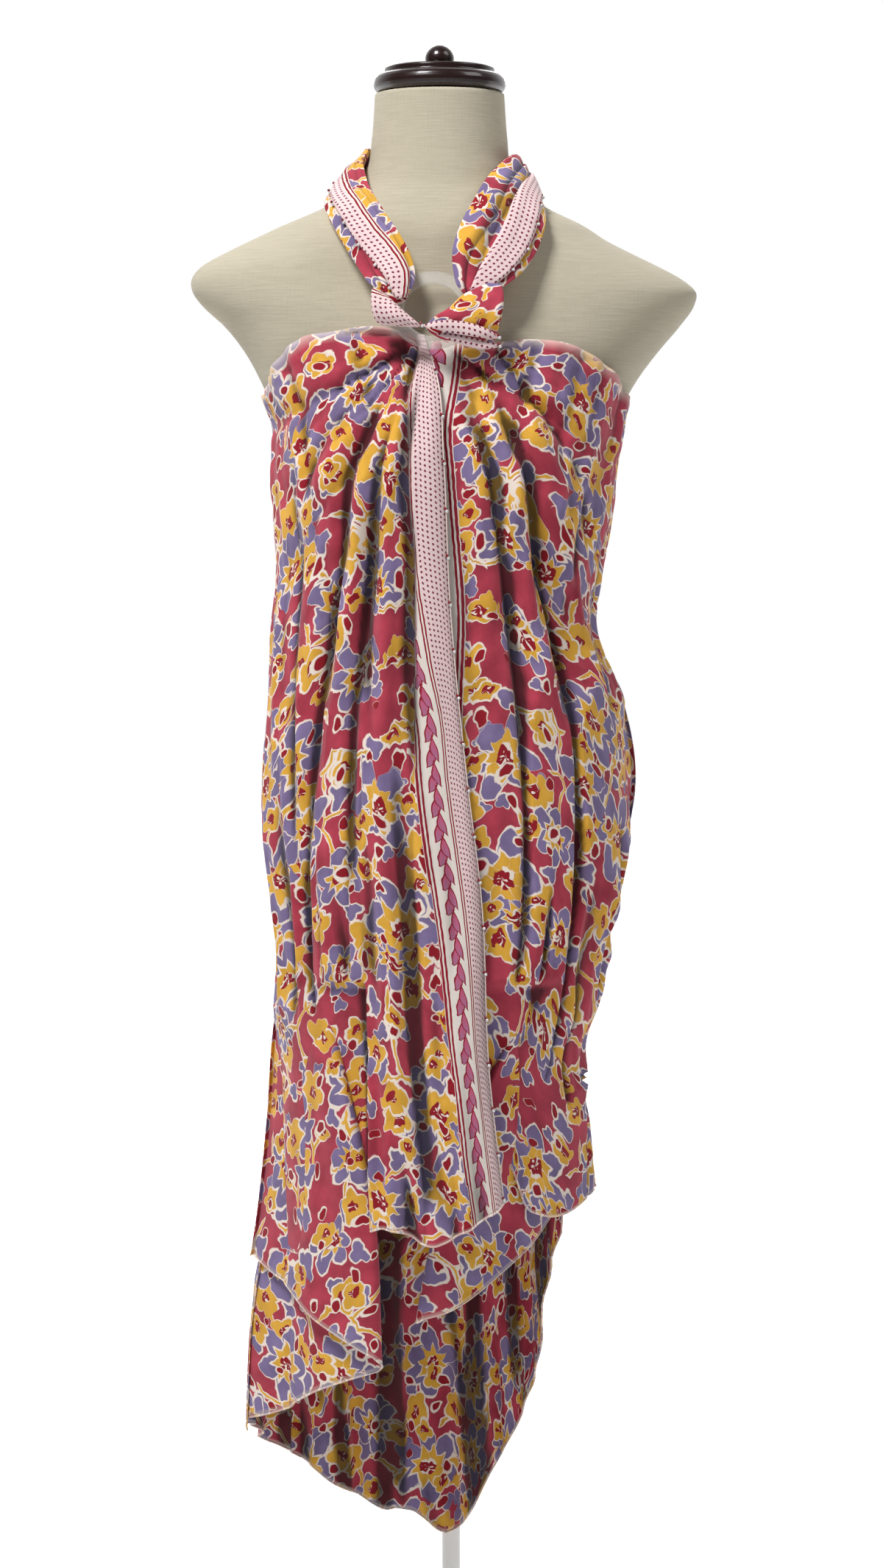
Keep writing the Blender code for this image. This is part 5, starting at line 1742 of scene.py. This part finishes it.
class SARONG_OT_back(Operator):
    """Makes the stretch round the back"""

    bl_idname = "sarong.back"
    bl_label = "Back"

    def execute(self, context):
        cloth = context.scene.sarong_cloth
        voile = shared_material("voile", printed_voile, context.scene.sarong_colours)
        points, print_at, hollow = back_points(170, 240)
        piece = sheet_object("back_cloth", points, print_at, hollow, voile, cloth.thickness)
        settle(piece, ["sarong_back"])
        hems = hemmed("back_cloth", points, print_at, voile)
        return {"FINISHED"}


class SARONG_OT_straps(Operator):
    """Makes the two corners taken up to the neck, with the knot and its ends"""

    bl_idname = "sarong.straps"
    bl_label = "Straps and knot"

    def execute(self, context):
        voile = shared_material("voile", printed_voile, context.scene.sarong_colours)
        thickness = context.scene.sarong_cloth.thickness
        for name, node, rows, grooves, shift, steps in (
            ("left_strap_cloth", "strap_left", LEFT_STRAP, LEFT_GROOVES, 110.0, STRAP_STEPS),
            ("right_strap_cloth", "strap_right", RIGHT_STRAP, RIGHT_GROOVES, 310.0, STRAP_STEPS),
            ("knot_cloth", "neck_knot", KNOT, ((0.3, 0.12), (0.65, 0.12)), 150.0, 16),
            ("left_end_cloth", "tie_end_left", LEFT_TIE_END, ((0.35, 0.1), (0.7, 0.1)), 100.0, 16),
            ("right_end_cloth", "tie_end_right", RIGHT_TIE_END, ((0.3, 0.1), (0.62, 0.1)), 180.0, 16),
        ):
            rings, hollow = gathered_points(rows, grooves, steps, SECTION_POINTS)
            across, down = lengths_on_tube(rings)
            print_at = np.stack([across + shift, down[:, :1] + 0 * across], axis=-1)
            settle(tube_object(name, rings, print_at, voile, hollow=hollow), [node])
        for name, node, rows, ripples, bordered in (
            ("left_lobe_cloth", "lobe_left", LEFT_LOBE, LEFT_RIPPLES, True),
            ("right_lobe_cloth", "lobe_right", RIGHT_LOBE, RIGHT_RIPPLES, False),
        ):
            rings = lobe_points(rows, STRAP_STEPS, SECTION_POINTS, ripples)
            across, down = lengths_on_tube(rings)
            print_at = np.stack([37.0 - down, across] if bordered else [across + 140.0, down], axis=-1)
            settle(tube_object(name, rings, print_at, voile), [node])
        for name, rows in (("upper_lip", UPPER_LIP), ("lower_lip", LOWER_LIP)):
            rings = lip_points(rows, 16, 40)
            across, down = lengths_on_tube(rings)
            print_at = np.stack([across + 1.0, down], axis=-1)
            settle(tube_object(name, rings, print_at, voile), [])
        for name, points in (("left_strap_border", left_band()), ("right_strap_border", right_band())):
            across = lengths_along(points, 1)
            if name.startswith("left"):
                across = across + 36.5 - across[:, -1:]
            print_at = np.stack([across, lengths_along(points, 0)], axis=-1)
            settle(sheet_object(name, points, print_at, None, voile, thickness), [])
        return {"FINISHED"}


def along_edge(edge, first, pitch, offset):
    """Places at even distances along a line of points, moved by the offset."""
    along = lengths_along(edge[:, None], 0)[:, 0]
    wanted = np.arange(first, along[-1], pitch)
    return np.stack([np.interp(wanted, along, edge[:, i]) for i in range(3)], axis=-1) + np.array(offset)


def balls(name, places, radius, material):
    """One mesh of small round balls, each a ring of circles closed at its poles."""
    turn = np.linspace(0, math.pi, 9)[:, None]
    around = once_round(12)
    ball = np.stack([np.sin(turn) * np.cos(around), np.sin(turn) * np.sin(around), np.cos(turn) + 0 * around],
                    axis=-1)[1:-1]
    bodies = places[:, None, None] + ball * radius
    faces = grid_faces(*ball.shape[:2], wrap=True)
    count = ball.shape[0] * ball.shape[1]
    every = (faces[None] + np.arange(len(places))[:, None, None] * count).reshape(-1, 4)
    rim = np.arange(ball.shape[1])
    starts = np.arange(len(places)) * count
    upper = starts[:, None] + rim[::-1]
    lower = starts[:, None] + rim + count - ball.shape[1]
    piece = mesh_object(name, bodies, every, material, closed_faces=np.concatenate([upper, lower]).tolist())
    return outwards(piece)


class SARONG_OT_beads(Operator):
    """Sews the small beads along the border's edge"""

    bl_idname = "sarong.beads"
    bl_label = "Beads"

    def execute(self, context):
        cloth = context.scene.sarong_cloth
        colours = context.scene.sarong_colours
        places = np.concatenate([
            along_edge(left_front(60, 400)[0][:, 0], 34.0, cloth.bead_pitch / MM, (0.6, -1.2, 0.0)),
            along_edge(left_band()[:, 0], 8.0, cloth.strap_bead_pitch / MM, (-0.6, -1.6, 0.0)),
            along_edge(right_band()[:, 0], 30.0, cloth.strap_bead_pitch / MM, (0.6, -1.6, 0.0)),
            np.array(LOOSE_BEADS),
        ])
        radius = cloth.bead_radius / MM
        pearls = balls("edge_beads", places, radius, shared_material("glass", pearl_glass, colours.bead))
        drops = balls("edge_bead_drops", places + np.array(DROP_OFFSET), radius * DROP_SIZE,
                      shared_material("red_glass", red_glass, colours.heart))
        settle(pearls, [])
        settle(drops, [])
        return {"FINISHED"}


class SARONG_OT_stage(Operator):
    """Sets up the paper floor, the lights and the photograph's camera"""

    bl_idname = "sarong.stage"
    bl_label = "Studio"

    def execute(self, context):
        stage = context.scene.sarong_stage
        material, tree = new_material("White paper")
        add(tree, "place", "ShaderNodeTexCoord")
        add(tree, "parts", PARTS, None, {0: "place.Object"})
        add(tree, "glow", SPREAD, None,
            {"Value": "parts.1", "From Min": 0.5, "From Max": 1.1, "To Min": 0.03, "To Max": 0.95})
        set_shader(tree, Base_Color=(*stage.floor_colour, 1.0), Roughness=0.95)
        set_shader(tree, Emission_Color=(1.0, 1.0, 1.0, 1.0))
        link_to_shader(tree, Emission_Strength="glow.0")
        across = np.linspace(-FLOOR_HALF, FLOOR_HALF, 13)
        x, y = np.meshgrid(across, across, indexing="ij")
        points = np.stack([x, y, 0 * x], axis=-1)
        floor = mesh_object("paper_floor", points, grid_faces(*points.shape[:2]), material)
        # Places in metres, size, power, and the point that each light looks at
        for name, place, size, power, aim in (
            ("main_light", (-1.15, -1.5, 3.85), 0.8, stage.key_power, (0.0, 0.0, 1.1)),
            ("side_light", (2.0, -0.8, 3.4), 1.4, stage.side_power, (0.0, 0.0, 1.1)),
            ("back_light", (0.0, 2.6, 2.6), 1.6, stage.side_power, (0.0, 0.0, 1.0)),
        ):
            light = bpy.data.lights.new(name, "AREA")
            light.energy = power
            light.size = size
            lamp = bpy.data.objects.new(name, light)
            lamp.location = place
            direction = np.array(aim) - np.array(place)
            flat = math.hypot(direction[0], direction[1])
            lamp.rotation_euler = (math.atan2(flat, -direction[2]), 0.0,
                                   math.atan2(direction[1], direction[0]) - math.pi / 2)
            context.scene.collection.objects.link(lamp)
        world = bpy.data.worlds.new("Studio surround")
        world.use_nodes = True
        tree = world.node_tree
        tree.nodes["Background"].inputs["Color"].default_value = (1.0, 1.0, 1.0, 1.0)
        add(tree, "direction", "ShaderNodeTexCoord")
        add(tree, "parts", PARTS, None, {0: "direction.Generated"})
        add(tree, "paper_behind", SPREAD, None,
            {"Value": "parts.1", "From Min": 0.1, "From Max": 0.7, "To Min": stage.surround, "To Max": 0.9})
        add(tree, "ray", "ShaderNodeLightPath")
        add(tree, "seen", MATH, {"operation": "MAXIMUM"}, {0: "paper_behind.0", 1: "ray.Is Camera Ray"})
        tree.links.new(tree.nodes["seen"].outputs[0], tree.nodes["Background"].inputs["Strength"])
        context.scene.world = world
        context.scene.view_settings.view_transform = "Standard"
        camera = bpy.data.objects.new("photo_camera", bpy.data.cameras.new("photo_camera"))
        camera.location = CAMERA_PLACE
        camera.rotation_euler = (CAMERA_TILT, 0.0, 0.0)
        camera.data.lens = CAMERA_LENS
        camera.data.sensor_width = 36.0
        camera.data.sensor_fit = "AUTO"
        context.scene.collection.objects.link(camera)
        context.scene.camera = camera
        return {"FINISHED"}


class SARONG_PT_panel(Panel):
    """Lists the operators in the sidebar"""

    bl_idname = "SARONG_PT_panel"
    bl_label = "Sarong on dress form"
    bl_space_type = "VIEW_3D"
    bl_region_type = "UI"
    bl_category = "Sarong"

    def draw(self, context):
        """One button for each operator"""
        for operator in OPERATORS:
            self.layout.operator(operator.bl_idname)


OPERATORS = (
    SARONG_OT_form,
    SARONG_OT_cap,
    SARONG_OT_stand,
    SARONG_OT_ring,
    SARONG_OT_fronts,
    SARONG_OT_pleats,
    SARONG_OT_back,
    SARONG_OT_straps,
    SARONG_OT_beads,
    SARONG_OT_stage,
)
CLASSES = (SarongColours, SarongCloth, SarongStage, *OPERATORS, SARONG_PT_panel)


def register():
    """Registers the classes and hangs the settings on the scene."""
    for item in CLASSES:
        bpy.utils.register_class(item)
    bpy.types.Scene.sarong_colours = PointerProperty(type=SarongColours)
    bpy.types.Scene.sarong_cloth = PointerProperty(type=SarongCloth)
    bpy.types.Scene.sarong_stage = PointerProperty(type=SarongStage)


def unregister():
    """Takes the settings and the classes away again."""
    del bpy.types.Scene.sarong_stage
    del bpy.types.Scene.sarong_cloth
    del bpy.types.Scene.sarong_colours
    for item in reversed(CLASSES):
        bpy.utils.unregister_class(item)


def main():
    register()
    for operator in OPERATORS:
        group, name = operator.bl_idname.split(".")
        getattr(getattr(bpy.ops, group), name)()


if __name__ == "__main__":
    main()
